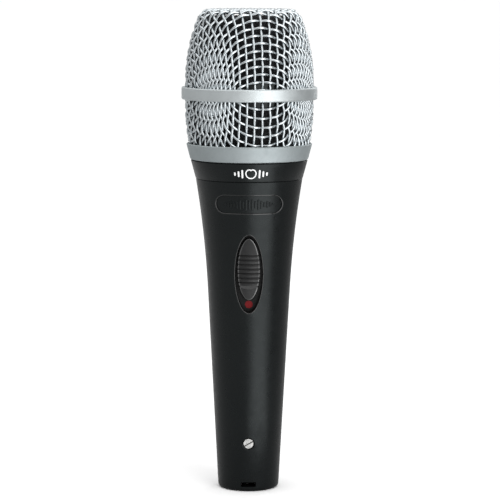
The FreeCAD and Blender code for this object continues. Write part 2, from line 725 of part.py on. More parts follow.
def make_bands():
    band = turned("band_body", [
        (d.mesh_radius, d.band_foot_level),
        (d.band_radius, d.band_foot_level),
        (d.band_radius, d.band_top_level),
        (d.mesh_radius, d.band_top_level),
    ])
    rounded(band, d.band_round, [(d.band_radius, d.band_foot_level), (d.band_radius, d.band_top_level)])
    publish(band, "centre_band")
    outside = d.mesh_radius - d.mesh_thickness
    hoop = turned("hoop_body", [
        (outside - d.hoop_thickness, d.mesh_split_level - d.hoop_reach),
        (outside, d.mesh_split_level - d.hoop_reach),
        (outside, d.mesh_split_level + d.hoop_reach),
        (outside - d.hoop_thickness, d.mesh_split_level + d.hoop_reach),
    ])
    publish(hoop, "band_inner_hoop")


def make_foams():
    inner = d.foam_inset + d.foam_thickness
    half_gap = d.foam_gap / 2
    dome = dome_shell("foam_dome_body", d.mesh_split_level + half_gap, d.foam_inset, inner)
    publish(dome, "foam_dome")
    sleeve = bowl_shell("foam_sleeve_body", d.foam_foot_level, d.mesh_split_level - half_gap,
                        d.foam_inset, inner)
    publish(sleeve, "foam_sleeve")


# ---------------------------------------------------------------------------------------------------
# Switch. Its pieces are built upright, +Y being the depth below the handle's surface and Z counted
# from the switch's middle, and are then leaned with the handle's taper.


def upright_skin():
    """The handle's outer surface, less the bezel's sink, as the upright switch sees it."""
    skin = handle_skin("bezel_skin", d.bezel_sink)
    skin.Placement = FreeCAD.Placement(FreeCAD.Vector(), FreeCAD.Rotation(FreeCAD.Vector(-1, 0, 0), 1))
    skin.setExpression("Placement.Rotation.Angle", d.switch_lean.expression)
    lean_cosine, lean_sine = cosine(d.switch_lean), sine(d.switch_lean)
    y = d.switch_radius * lean_cosine - d.switch_level * lean_sine
    return placed(skin, 0, y, -(d.switch_radius * lean_sine) - d.switch_level * lean_cosine)


def board_screw_rods(name, radius, near, far):
    """Two rods along Y where the bezel's bosses are."""
    return [
        rod(f"{name}_upper", radius, near, far, 0, d.boss_reach),
        rod(f"{name}_lower", radius, near, far, 0, -d.boss_reach),
    ]


def make_bezel():
    wall = d.bezel_wall * 2
    prism = oval("bezel_prism", d.window_width, d.window_length, -REACH, d.bezel_back_depth)
    plug = combined("MultiCommon", "bezel_plug", [prism, upright_skin()])
    bosses = board_screw_rods("boss", d.boss_radius, d.bezel_floor_depth, d.can_back_depth)
    slot_half = (d.post_length + d.switch_travel) / 2 + d.post_play
    slot_width = d.post_width + d.post_play * 2
    hollows = [
        oval("bezel_hollow", d.window_width - wall, d.window_length - wall, -REACH, d.bezel_floor_depth),
        block("bezel_slot", slot_width, 0, d.bezel_back_depth + OVERCUT, -slot_half, slot_half),
        rod("dot_seat", d.dot_radius, 0, d.bezel_floor_depth + d.dot_sink, 0, -d.dot_drop),
        *board_screw_rods("boss_bore", d.board_screw_radius, d.can_back_depth - d.board_screw_grip,
                          d.can_back_depth + OVERCUT),
    ]
    body = combined("MultiFuse", "bezel_and_bosses", [plug, *bosses])
    publish(in_switch_frame(cut("bezel_cut", body, hollows)), "switch_bezel")
    dot = rod("dot", d.dot_radius, d.bezel_floor_depth - d.dot_rise, d.bezel_floor_depth + d.dot_sink,
              0, -d.dot_drop)
    publish(in_switch_frame(combined("Compound", "dot_inlay", [dot])), "on_dot")


def button_side():
    """Outline of the button from its side: slope, ribbed crest, lip and tail; (depth, height)."""
    half_length = d.button_length / 2
    top, foot = d.button_rise + half_length, d.button_rise - half_length
    brow, heel = d.button_rise + d.button_brow, d.button_rise - d.button_heel
    return [
        (d.button_foot_depth, foot),
        (d.button_foot_depth, top),
        (d.button_tip_depth, top),
        (-d.button_crest, brow),
        (-d.button_crest, heel),
        (d.button_tail_depth, heel - d.button_lip),
        (d.button_tip_depth, foot),
    ]


def make_button():
    reach = d.button_width
    plan = oval("button_plan", d.button_width, d.button_length, -reach, reach, d.button_rise)
    side = slab("button_side", "YZ_Plane", button_side(), reach * 2)
    crown = cylinder("button_crown", d.button_crown_radius, d.button_length * 2, 0,
                     d.button_crown_radius - d.button_crest, -d.button_length)
    cap = combined("MultiCommon", "button_cap", [plan, side, crown])
    grooves = []
    for index in range(RIB_GROOVES):
        groove = document.addObject("Part::Cylinder", f"rib_groove_{index + 1}")
        sideways = FreeCAD.Rotation(FreeCAD.Vector(0, 1, 0), 90)
        groove.Placement = FreeCAD.Placement(FreeCAD.Vector(), sideways)
        bind(groove, Radius=d.rib_groove_radius, Height=d.button_width * 2)
        level = d.button_rise + d.button_brow - d.rib_margin - d.rib_pitch * index
        placed(groove, -d.button_width, d.rib_groove_depth - d.button_crest - d.rib_groove_radius, level)
        grooves.append(groove)
    centre = d.switch_travel / 2
    post_half = d.post_length / 2
    post = block("button_post", d.post_width, d.button_tail_depth, d.slider_front_depth,
                 centre - post_half, centre + post_half)
    ribbed = cut("button_ribbed", cap, grooves)
    button = combined("MultiFuse", "button_body", [ribbed, post])
    publish(in_switch_frame(button), "switch_button")
    slider_half, contact_half = d.slider_length / 2, d.contact_length / 2
    slider = block("slider", d.slider_width, d.slider_front_depth, d.slider_back_depth,
                   centre - slider_half, centre + slider_half)
    publish(in_switch_frame(combined("Compound", "slider_body", [slider])), "switch_slider")
    contact = block("contact", d.contact_width, d.slider_back_depth,
                    d.slider_back_depth + d.contact_thickness, centre - contact_half, centre + contact_half)
    publish(in_switch_frame(combined("Compound", "contact_body", [contact])), "switch_contact")


def terminal_rods(name, near, far):
    """Rods along Y where the switch's terminals are, one above the other."""
    middle = (SWITCH_TERMINALS - 1) / 2
    return [
        rod(f"{name}_{index + 1}", d.terminal_radius, near, far, 0, d.terminal_pitch * (index - middle))
        for index in range(SWITCH_TERMINALS)
    ]


def make_switch_can():
    half_length, inside = d.can_length / 2, d.can_wall * 2
    slot_half = (d.post_length + d.switch_travel) / 2 + d.post_play
    outside = block("can_outside", d.can_width, d.can_front_depth, d.can_back_depth,
                    -half_length, half_length)
    hollow = block("can_hollow", d.can_width - inside, d.can_front_depth + d.can_wall,
                   d.can_back_depth + OVERCUT, d.can_wall - half_length, half_length - d.can_wall)
    slot = block("can_slot", d.post_width + d.post_play * 2, d.can_front_depth - OVERCUT, d.can_back_depth,
                 -slot_half, slot_half)
    publish(in_switch_frame(cut("can_cut", outside, [hollow, slot])), "switch_can")
    base_front = d.can_back_depth - d.base_thickness
    base = block("base_plate", d.can_width - inside, base_front, d.can_back_depth,
                 d.can_wall - half_length, half_length - d.can_wall)
    base_holes = terminal_rods("base_hole", base_front - OVERCUT, d.can_back_depth + OVERCUT)
    publish(in_switch_frame(cut("base_cut", base, base_holes)), "switch_base")
    terminals = terminal_rods("terminal", base_front - d.terminal_root, d.terminal_tip_depth)
    publish(in_switch_frame(combined("Compound", "terminal_set", terminals)), "switch_terminals")


def make_board():
    back = d.can_back_depth + d.board_thickness
    half_length = d.board_length / 2
    board = block("board_plate", d.board_width, d.can_back_depth, back, -half_length, half_length)
    front = d.can_back_depth - OVERCUT
    holes = terminal_rods("board_hole", front, back + OVERCUT)
    holes += board_screw_rods("board_screw_hole", d.board_screw_radius, front, back + OVERCUT)
    publish(in_switch_frame(cut("board_cut", board, holes)), "switch_board")
    tip = d.can_back_depth - d.board_screw_grip
    shanks = board_screw_rods("screw_shank", d.board_screw_radius, tip, back)
    top = back + d.board_screw_head_height
    heads = board_screw_rods("screw_head", d.board_screw_head_radius, back, top)
    screws = [
        combined("MultiFuse", f"board_screw_{index + 1}", [shank, head])
        for index, (shank, head) in enumerate(zip(shanks, heads))
    ]
    publish(in_switch_frame(combined("Compound", "screw_set", screws)), "board_screws")


# ---------------------------------------------------------------------------------------------------
# Connector: insert, three pins, lock screw and grounding clip


def pin_places():
    """Number and place of each contact pin."""
    return [(1, d.pin_side, d.pin_front), (2, -d.pin_side, d.pin_front), (3, as_dim(0), d.pin_back)]


def make_connector():
    mouth = turned("insert_body", [
        (d.socket_radius + d.collar_chamfer, d.insert_foot_level),
        (d.insert_radius, d.insert_foot_level),
        (d.insert_radius, d.insert_top_level),
        (0, d.insert_top_level),
        (0, d.socket_floor_level),
        (d.socket_radius, d.socket_floor_level),
        (d.socket_radius, d.insert_foot_level + d.collar_chamfer),
    ])
    depth = d.insert_top_level - d.socket_floor_level + OVERCUT * 2
    holes = [
        cylinder(f"pin_hole_{number}", d.shank_radius, depth, x, y, d.socket_floor_level - OVERCUT)
        for number, x, y in pin_places()
    ]
    head, screw_end = -d.lock_screw_reach, d.lock_screw_length - d.lock_screw_reach
    bore = rod("lock_bore", d.lock_screw_radius, head, screw_end, 0, d.lock_screw_level)
    publish(cut("insert_cut", mouth, [*holes, bore, latch_notch("insert_latch_notch")]), "xlr_insert")

    screw = rod("lock_screw_body", d.lock_screw_radius, head, screw_end, 0, d.lock_screw_level)
    slot_half = d.lock_slot_width / 2
    reach = d.lock_screw_radius * 2
    slot = slab("lock_slot", "XZ_Plane", [
        (-reach, -slot_half), (reach, -slot_half), (reach, slot_half), (-reach, slot_half),
    ], d.lock_slot_depth * 2)
    slot.Placement = FreeCAD.Placement(FreeCAD.Vector(), FreeCAD.Rotation(FreeCAD.Vector(0, -1, 0), 1))
    slot.setExpression("Placement.Rotation.Angle", d.lock_slot_turn.expression)
    placed(slot, 0, head, d.lock_screw_level)
    publish(cut("lock_screw_cut", screw, [slot]), "xlr_lock_screw")

    for number, x, y in pin_places():
        tip = d.pin_tip_round
        pin = turned(f"pin_{number}", [
            (0, d.pin_tip_level),
            (d.pin_radius - tip, d.pin_tip_level, tip, -1),
            (d.pin_radius, d.pin_tip_level + tip),
            (d.pin_radius, d.socket_floor_level),
            (d.shank_radius, d.socket_floor_level),
            (d.shank_radius, d.insert_top_level),
            (d.cup_radius, d.insert_top_level),
            (d.cup_radius, d.cup_top_level),
            (d.cup_bore_radius, d.cup_top_level),
            (d.cup_bore_radius, d.cup_floor_level),
            (0, d.cup_floor_level),
        ])
        publish(placed(pin, x, y), f"xlr_pin_{number}")


def make_ground_clip():
    near, far = d.pin_front - d.clip_width / 2, d.pin_front + d.clip_width / 2
    inner = d.pin_side - d.cup_radius - d.clip_margin
    middle, width = (inner + d.clip_reach) / 2, d.clip_reach - inner
    top = d.insert_top_level + d.clip_thickness
    plate = block("clip_plate", width, near, far, d.insert_top_level, top, middle)
    tab = block("clip_tab", d.clip_thickness, near, far, d.insert_top_level, d.shoulder_level,
                d.clip_reach - d.clip_thickness / 2)
    hole = cylinder("clip_hole", d.cup_radius, d.clip_thickness + OVERCUT * 2, d.pin_side, d.pin_front,
                    d.insert_top_level - OVERCUT)
    clip = cut("clip_cut", combined("MultiFuse", "clip_sheet", [plate, tab]), [hole])
    publish(clip, "ground_clip")


# ---------------------------------------------------------------------------------------------------
# Capsule with its magnet, diaphragm and front cap, and the shock mount that carries it


def make_capsule_case():
    inside = d.capsule_radius - d.capsule_wall
    case = turned("case_body", [
        (d.stem_bore_radius, d.stem_foot_level),
        (d.stem_radius, d.stem_foot_level),
        (d.stem_radius, d.capsule_foot_level),
        (d.capsule_radius - d.collar_chamfer, d.capsule_foot_level),
        (d.capsule_radius, d.capsule_foot_level + d.collar_chamfer),
        (d.capsule_radius, d.film_level),
        (inside, d.film_level),
        (inside, d.capsule_floor_level),
        (d.stem_bore_radius, d.capsule_floor_level),
    ])
    publish(case, "capsule_case")
    felt_top = d.capsule_floor_level + d.felt_thickness
    felt = turned("felt_body", [
        (d.stem_bore_radius, d.capsule_floor_level),
        (inside, d.capsule_floor_level),
        (inside, felt_top),
        (d.stem_bore_radius, felt_top),
    ])
    publish(felt, "damping_felt")


def make_magnet():
    outside = d.capsule_radius - d.capsule_wall
    foot = d.capsule_floor_level + d.felt_thickness
    floor = foot + d.yoke_floor
    yoke = turned("yoke_body", [
        (0, foot),
        (outside, foot),
        (outside, d.gap_foot_level),
        (d.yoke_bore_radius, d.gap_foot_level),
        (d.yoke_bore_radius, floor),
        (0, floor),
    ])
    publish(yoke, "magnet_yoke")
    plate = turned("top_plate_body", [
        (d.gap_radius, d.gap_foot_level),
        (outside, d.gap_foot_level),
        (outside, d.gap_top_level),
        (d.gap_radius, d.gap_top_level),
    ])
    publish(plate, "top_plate")
    publish(cylinder("magnet_body", d.magnet_radius, d.gap_foot_level - floor, 0, 0, floor), "magnet")
    pole = cylinder("pole_body", d.pole_radius, d.gap_top_level - d.gap_foot_level, 0, 0, d.gap_foot_level)
    publish(pole, "pole_piece")


def make_diaphragm():
    low, top = d.film_level, d.film_level + d.film_thickness
    edge, dome = d.coil_radius - d.coil_wall, d.film_dome_radius
    rise = dome - leg(dome, edge)
    film = turned("film_body", [
        (0, low + rise, dome, 1),
        (edge, low),
        (d.film_roll_inside, low, d.film_roll_radius, 1),
        (d.film_roll_outside, low),
        (d.film_radius, low),
        (d.film_radius, top),
        (d.film_roll_outside, top, d.film_roll_radius, -1),
        (d.film_roll_inside, top),
        (edge, top, dome, -1),
        (0, top + rise),
    ])
    publish(film, "diaphragm")
    coil = turned("coil_body", [
        (edge, d.coil_foot_level),
        (d.coil_radius, d.coil_foot_level),
        (d.coil_radius, low),
        (edge, low),
    ])
    publish(coil, "voice_coil")
    ring_top = top + d.film_ring_height
    ring = turned("film_ring_body", [
        (d.film_roll_outside, top),
        (d.capsule_radius, top),
        (d.capsule_radius, ring_top),
        (d.film_roll_outside, ring_top),
    ])
    publish(ring, "diaphragm_ring")


def make_front_cap():
    bevel = d.collar_chamfer * 2
    under = d.cap_top_level - d.cap_plate
    cap = turned("front_cap_body", [
        (d.capsule_radius, d.cap_foot_level),
        (d.cap_radius, d.cap_foot_level),
        (d.cap_radius, d.cap_top_level - bevel),
        (d.cap_radius - bevel, d.cap_top_level),
        (0, d.cap_top_level),
        (0, under),
        (d.capsule_radius, under),
    ])
    foot, depth = under - OVERCUT, d.cap_plate + OVERCUT * 2
    holes = [cylinder("cap_hole_middle", d.cap_hole_radius, depth, 0, 0, foot)]
    circles = (("inner", d.cap_inner_circle, INNER_HOLES), ("outer", d.cap_outer_circle, OUTER_HOLES))
    for name, circle, count in circles:
        for index in range(count):
            angle = 2 * math.pi * index / count
            x, y = circle * math.cos(angle), circle * math.sin(angle)
            holes.append(cylinder(f"cap_hole_{name}_{index + 1}", d.cap_hole_radius, depth, x, y, foot))
    publish(cut("front_cap_cut", cap, holes), "front_cap")
    cloth = cylinder("cloth_body", d.cloth_radius, d.cloth_thickness, 0, 0, under - d.cloth_thickness)
    publish(cloth, "front_cloth")


def make_terminal_board():
    foot = d.stem_foot_level - d.lug_board_thickness
    board = cylinder("lug_board_body", d.stem_radius, d.lug_board_thickness, 0, 0, foot)
    centre = foot + d.lug_board_thickness / 2
    lugs, holes = [], []
    for name, x in (("right", d.lug_reach), ("left", -d.lug_reach)):
        depth = d.lug_board_thickness + OVERCUT * 2
        holes.append(cylinder(f"lug_hole_{name}", d.lug_radius, depth, x, 0, foot - OVERCUT))
        lugs.append(cylinder(f"lug_{name}", d.lug_radius, d.lug_length, x, 0, centre - d.lug_length / 2))
    publish(cut("lug_board_cut", board, holes), "capsule_board")
    publish(combined("Compound", "lug_set", lugs), "capsule_terminals")


def make_shock_mount():
    bore = d.stem_radius + d.mount_play
    web_foot = d.ledge_level + (d.mount_rim_height - d.mount_web) / 2
    rim_top = d.ledge_level + d.mount_rim_height
    mount = turned("shock_mount_body", [
        (bore, d.mount_sleeve_foot_level),
        (d.mount_sleeve_radius, d.mount_sleeve_foot_level),
        (d.mount_sleeve_radius, web_foot),
        (d.mount_rim_radius, web_foot),
        (d.mount_rim_radius, d.ledge_level),
        (d.neck_bore_radius, d.ledge_level),
        (d.neck_bore_radius, rim_top),
        (d.mount_rim_radius, rim_top),
        (d.mount_rim_radius, web_foot + d.mount_web),
        (d.mount_sleeve_radius, web_foot + d.mount_web),
        (d.mount_sleeve_radius, d.mount_sleeve_top_level),
        (bore, d.mount_sleeve_top_level),
    ])
    publish(mount, "shock_mount")
    clamp_top = rim_top + d.clamp_height
    clamp = turned("clamp_body", [
        (d.clamp_bore_radius, rim_top),
        (d.neck_bore_radius, rim_top),
        (d.neck_bore_radius, clamp_top),
        (d.clamp_bore_radius, clamp_top),
    ])
    half = d.clamp_notch / 2
    notches = block("clamp_notches", d.neck_bore_radius * 2, -half, half, clamp_top - half, clamp_top)
    publish(cut("clamp_cut", clamp, [notches]), "shock_mount_clamp")


# ---------------------------------------------------------------------------------------------------
# Leads


def make_leads():
    lug_foot = d.stem_foot_level.value - d.lug_board_thickness.value / 2 - d.lug_length.value / 2
    lug = d.lug_reach.value
    pitch, tip = d.terminal_pitch.value, d.terminal_tip_depth.value
    cup = d.cup_floor_level.value + CUP_CLEARANCE
    ends = {number: (x.value, y.value, cup) for number, x, y in pin_places()}
    lead("lead_capsule_hot", [switch_point(tip, pitch), *HOT_ROUTE, (lug, 0.0, lug_foot)])
    lead("lead_capsule_cold", [(-lug, 0.0, lug_foot), *COLD_ROUTE, ends[3]])
    lead("lead_switch_out", [switch_point(tip, -pitch), *OUT_ROUTE, ends[2]])
    lead("lead_ground", [switch_point(tip, 0.0), *GROUND_ROUTE, ends[1]])


# ---------------------------------------------------------------------------------------------------
# The whole microphone


def check_and_write():
    """Stops if anything failed, then writes each sub-part to its own file."""
    document.recompute()
    for thing in document.Objects:
        if "Invalid" in thing.State or "Error" in thing.State:
            raise SystemExit(f"{thing.Name} failed: {thing.State}")
    labels = [thing.Label for thing in subparts]
    if len(set(labels)) != len(labels):
        raise SystemExit("two sub-parts share a name")
    os.makedirs(OUT, exist_ok=True)
    for thing in subparts:
        shape = thing.Shape
        if shape.isNull() or not shape.isValid() or not shape.Solids:
            raise SystemExit(f"{thing.Label} has no valid solid")
        shape.exportStep(os.path.join(OUT, thing.Label + ".step"))
        print(f"{thing.Label}: {len(shape.Solids)} solid(s), {shape.Volume:.1f} mm3")
    print(f"{len(subparts)} sub-parts")


make_handle()
make_top_ring()
make_collar()
make_meshes()
make_bands()
make_foams()
make_bezel()
make_button()
make_switch_can()
make_board()
make_connector()
make_ground_clip()
make_capsule_case()
make_magnet()
make_diaphragm()
make_front_cap()
make_terminal_board()
make_shock_mount()
make_leads()
check_and_write()
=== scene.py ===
import json
import math

import bpy
import numpy as np
from mathutils import Matrix, Vector, noise
from mathutils.bvhtree import BVHTree


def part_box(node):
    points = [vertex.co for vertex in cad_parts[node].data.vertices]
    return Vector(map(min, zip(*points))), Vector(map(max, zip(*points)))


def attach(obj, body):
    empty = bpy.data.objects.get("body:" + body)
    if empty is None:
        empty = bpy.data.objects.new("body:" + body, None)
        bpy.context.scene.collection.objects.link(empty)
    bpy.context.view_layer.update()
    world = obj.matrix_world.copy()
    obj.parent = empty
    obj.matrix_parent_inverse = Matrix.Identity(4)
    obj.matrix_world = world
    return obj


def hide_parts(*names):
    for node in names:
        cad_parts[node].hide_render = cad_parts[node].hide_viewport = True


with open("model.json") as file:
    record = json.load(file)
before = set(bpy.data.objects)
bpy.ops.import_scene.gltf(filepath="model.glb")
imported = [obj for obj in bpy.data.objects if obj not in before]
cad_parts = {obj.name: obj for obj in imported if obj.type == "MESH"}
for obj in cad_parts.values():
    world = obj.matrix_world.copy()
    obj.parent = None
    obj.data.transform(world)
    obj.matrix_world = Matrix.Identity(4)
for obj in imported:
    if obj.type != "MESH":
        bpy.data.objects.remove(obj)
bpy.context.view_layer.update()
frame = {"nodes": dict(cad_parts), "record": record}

# A handheld dynamic microphone. Shapes are worked out in millimetres and written in metres.
# +Z runs along the microphone to the grille, -Y is the front, +X is to the right.

MM = 0.001
NODES = frame["nodes"]


def levels(node):
    """Lowest level, highest level and outer radius of a CAD node, in millimetres."""
    low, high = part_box(node)
    return low.z / MM, high.z / MM, high.x / MM


def build(name, points, faces, smooth=True):
    """A mesh object from points in millimetres."""
    mesh = bpy.data.meshes.new(name)
    mesh.from_pydata([tuple(point) for point in np.asarray(points, float) * MM], [], faces)
    mesh.validate()
    mesh.polygons.foreach_set("use_smooth", [smooth] * len(mesh.polygons))
    mesh.update()
    piece = bpy.data.objects.new(name, mesh)
    bpy.context.scene.collection.objects.link(piece)
    return piece


def wrap(first, count, bands, faces):
    """Adds bands of quads between closed rings of count points that are numbered from first."""
    for base in range(first, first + bands * count, count):
        for k in range(count):
            nxt = (k + 1) % count
            faces.append((base + k, base + nxt, base + count + nxt, base + count + k))


# ---------------------------------------------------------------------------------------------
# Camera, lights and floor

SENSOR = 36.0
LENS = 165.7
CLIP = (0.01, 50.0)
CAMERA_DISTANCE = 0.902
CAMERA_TILT = math.radians(6.8)
CAMERA_ROLL = math.radians(0.16)
AIM = Vector((0.0004, 0.0, 0.09395))
# Brightness of the surround on the left and on the right, and its factors at the horizon and overhead, with
# the heights of the direction between which it changes.
SURROUND_SIDES = (1.2, 0.8)
SURROUND_LEVELS = (0.25, 1.0)
SURROUND_HEIGHTS = (0.42, 1.5)
# The floor's colour as the camera sees it and as it lights the microphone, which falls from left to right.
FLOOR_COLOUR = 0.99
FLOOR_BOUNCE = (0.52, 0.26)
FLOOR_BOUNCE_SPAN = (-0.15, 0.30)
FLOOR_REACH = 80000.0
KEY_AZIMUTH = 32.0
KEY_DISTANCE = 0.62
KEY_LEVEL = 0.42
KEY_SIZE = (0.50, 0.84)
KEY_RADIANCE = 2.35
# Stretches of floor that the key lights: name, near and far end from the microphone, and width.
KEY_PATCHES = (("key_patch_near", 0.07, 0.20, 0.11), ("key_patch_far", 0.20, 0.60, 0.30))
PATCH_LEVEL = 0.002
RIM_PLACE = (150.0, 0.9, 0.45)
RIM_AIM = (0, 0, 0.1)
RIM_SIZE = (0.12, 0.8)
RIM_RADIANCE = 4.0


def make_camera():
    data = bpy.data.cameras.new("camera")
    data.sensor_width = SENSOR
    data.lens = LENS
    data.clip_start, data.clip_end = CLIP
    camera = bpy.data.objects.new("camera", data)
    bpy.context.scene.collection.objects.link(camera)
    back = Vector((0, -math.cos(CAMERA_TILT), math.sin(CAMERA_TILT)))
    camera.location = AIM + back * CAMERA_DISTANCE
    facing = (-back).to_track_quat("-Z", "Y").to_matrix().to_4x4()
    camera.rotation_euler = (facing @ Matrix.Rotation(CAMERA_ROLL, 4, "Z")).to_euler()
    bpy.context.scene.camera = camera


def soft_light(name, place, aim, width, height, radiance):
    """A rectangular soft light at a place, facing another, of a given radiance."""
    data = bpy.data.lights.new(name, "AREA")
    data.shape = "RECTANGLE"
    data.size, data.size_y = width, height
    data.energy = radiance * math.pi * width * height
    light = bpy.data.objects.new(name, data)
    bpy.context.scene.collection.objects.link(light)
    light.location = place
    light.rotation_euler = (Vector(aim) - Vector(place)).to_track_quat("-Z", "Y").to_euler()
    light.visible_camera = False
    return light


def beside(azimuth, distance, level):
    """A place at an azimuth to the right of the front, in metres."""
    turn = math.radians(azimuth)
    return math.sin(turn) * distance, -math.cos(turn) * distance, level


def make_lights():
    """A tall soft key on the right, its long patch on the floor, and a faint rim from behind."""
    place = beside(KEY_AZIMUTH, KEY_DISTANCE, KEY_LEVEL)
    soft_light("key", place, (0, 0, KEY_LEVEL), *KEY_SIZE, KEY_RADIANCE)
    for name, near, far, width in KEY_PATCHES:
        place = beside(KEY_AZIMUTH, (near + far) / 2, PATCH_LEVEL)
        patch = soft_light(name, place, (0, 0, 1), width, far - near, KEY_RADIANCE)
        patch.rotation_euler = (math.pi, 0, math.radians(KEY_AZIMUTH))
    soft_light("rim", beside(*RIM_PLACE), RIM_AIM, *RIM_SIZE, RIM_RADIANCE)


def make_world():
    """A pale surround, bright overhead and dim towards the horizon, a little darker on the right."""
    world = bpy.data.worlds.new("surround")
    bpy.context.scene.world = world
    world.use_nodes = True
    tree = world.node_tree
    back = tree.nodes["Background"]
    where = tree.nodes.new("ShaderNodeTexCoord")
    split = tree.nodes.new("ShaderNodeSeparateXYZ")
    tree.links.new(where.outputs["Generated"], split.inputs[0])
    ramps = []
    for axis, ends in (("X", (-1.0, 1.0, *SURROUND_SIDES)), ("Z", (*SURROUND_LEVELS, *SURROUND_HEIGHTS))):
        ramp = tree.nodes.new("ShaderNodeMapRange")
        for socket, value in zip(("From Min", "From Max", "To Min", "To Max"), ends):
            ramp.inputs[socket].default_value = value
        ramp.interpolation_type = "SMOOTHSTEP" if axis == "Z" else "LINEAR"
        tree.links.new(split.outputs[axis], ramp.inputs["Value"])
        ramps.append(ramp.outputs["Result"])
    product = tree.nodes.new("ShaderNodeMath")
    product.operation = "MULTIPLY"
    for place, ramp in enumerate(ramps):
        tree.links.new(ramp, product.inputs[place])
    tree.links.new(product.outputs[0], back.inputs["Strength"])
    back.inputs["Color"].default_value = (1.0, 1.0, 1.0, 1)


# ---------------------------------------------------------------------------------------------
# Materials


class Paint:
    """A material being made: a Principled shader and short ways to feed it."""

    def __init__(self, name, colour, rough, metallic=0.0, specular=0.5):
        self.material = bpy.data.materials.new(name)
        self.material.use_nodes = True
        self.tree = self.material.node_tree
        self.shader = self.tree.nodes["Principled BSDF"]
        self.shader.inputs["Metallic"].default_value = metallic
        self.shader.inputs["Specular IOR Level"].default_value = specular
        self.shader.inputs["Roughness"].default_value = rough
        self.colour, self.rough, self.height = colour, rough, None
        self.where = self.tree.nodes.new("ShaderNodeTexCoord").outputs["Object"]

    def link(self, start, end):
        """Joins an output to an input."""
        self.tree.links.new(start, end)

    def add(self, kind, **values):
        """A node of a kind, with values for its inputs or its settings."""
        node = self.tree.nodes.new(kind)
        for key, value in values.items():
            socket = node.inputs.get(key.replace("_", " "))
            if socket is not None:
                socket.default_value = value
            else:
                setattr(node, key, value)
        return node

    def stretched(self, x, y, z):
        """Object coordinates stretched by these factors."""
        node = self.add("ShaderNodeMapping", Scale=(x, y, z))
        self.link(self.where, node.inputs["Vector"])
        return node.outputs["Vector"]

    def grain(self, scale, detail, place=None):
        """Noise of about this many grains a millimetre."""
        node = self.add("ShaderNodeTexNoise", Scale=scale / MM, Detail=detail)
        self.link(place or self.where, node.inputs["Vector"])
        return node.outputs["Fac"]

    def pores(self, scale, place=None):
        """Cells of about this many a millimetre."""
        node = self.add("ShaderNodeTexVoronoi", Scale=scale / MM)
        self.link(place or self.where, node.inputs["Vector"])
        return node.outputs["Distance"]

    def span(self, value, low, high, start=0.3, end=0.7):
        """The value's run from start to end, mapped from low to high."""
        node = self.add("ShaderNodeMapRange", From_Min=start, From_Max=end, To_Min=low, To_Max=high)
        self.link(value, node.inputs["Value"])
        return node.outputs["Result"]

    def mottle(self, value, darker, lighter, start=0.3, end=0.7):
        """Colour that runs between two factors of the base colour."""
        ramp = self.add("ShaderNodeValToRGB")
        ends = ramp.color_ramp.elements
        for stop, place, factor in ((ends[0], start, darker), (ends[1], end, lighter)):
            stop.position = place
            stop.color = (*[min(1.0, c * factor) for c in self.colour], 1)
        self.link(value, ramp.inputs["Fac"])
        self.link(ramp.outputs["Color"], self.shader.inputs["Base Color"])

    def dull(self, value, spread):
        """Roughness that varies by this much each way."""
        rough = self.span(value, self.rough - spread, self.rough + spread)
        self.link(rough, self.shader.inputs["Roughness"])

    def bump(self, value, strength, depth):
        """Height of depth millimetres; several bumps add up."""
        node = self.add("ShaderNodeBump", Strength=strength, Distance=depth * MM)
        self.link(value, node.inputs["Height"])
        if self.height is not None:
            self.link(self.height, node.inputs["Normal"])
        self.height = node.outputs["Normal"]
        self.link(self.height, self.shader.inputs["Normal"])


def plain(name, colour, rough, specular=0.5, grain=1.5, depth=0.01, spread=0.05, vary=0.12):
    """A finish with fine grain, slight colour change and uneven gloss."""
    paint = Paint(name, colour, rough, specular=specular)
    fine, wide = paint.grain(grain, 3.0), paint.grain(grain / 12, 2.0)
    paint.mottle(wide, 1 - vary, 1 + vary)
    paint.dull(wide, spread)
    paint.bump(fine, 0.5, depth)
    return paint


def body_paint():
    """Satin black paint over a cast handle: fine orange peel, a trace of specks and worn gloss."""
    paint = Paint("body_paint", (0.0032, 0.0038, 0.0040), 0.30, specular=0.25)
    paint.mottle(paint.grain(0.08, 3.0), 0.88, 1.14)
    paint.dull(paint.grain(0.35, 4.0), 0.05)
    paint.bump(paint.grain(3.2, 2.0), 0.35, 0.012)
    paint.bump(paint.grain(0.5, 2.0), 0.25, 0.02)
    paint.shader.inputs["Specular Tint"].default_value = (0.90, 0.99, 1.0, 1)
    return paint


def satin_nickel(name, colour, rough):
    """Blasted and plated rings: fine grain with faint turning lines."""
    paint = Paint(name, colour, rough, metallic=1.0)
    paint.mottle(paint.grain(0.12, 4.0), 0.95, 1.05)
    paint.dull(paint.grain(0.5, 3.0), 0.035)
    paint.bump(paint.grain(5.0, 2.0), 0.3, 0.006)
    paint.bump(paint.grain(0.35, 3.0, paint.stretched(0.05, 0.05, 20.0)), 0.12, 0.004)
    return paint


def mesh_wire():
    """Bright plated wire, a little duller in places."""
    paint = Paint("mesh_wire", (0.58, 0.62, 0.64), 0.28, metallic=1.0)
    paint.mottle(paint.grain(0.3, 3.0), 0.93, 1.06)
    paint.dull(paint.grain(1.2, 3.0), 0.06)
    paint.bump(paint.grain(6.0, 2.0), 0.2, 0.004)
    return paint


def black_foam():
    """Open-cell foam: dark pores between fine ribs."""
    paint = Paint("black_foam", (0.020, 0.021, 0.023), 0.92, specular=0.15)
    cells = paint.pores(1.7)
    paint.mottle(cells, 1.5, 0.35, 0.15, 0.6)
    paint.bump(cells, 0.9, 0.25)
    paint.bump(paint.grain(4.0, 3.0), 0.5, 0.06)
    paint.shader.inputs["Sheen Weight"].default_value = 0.08
    return paint


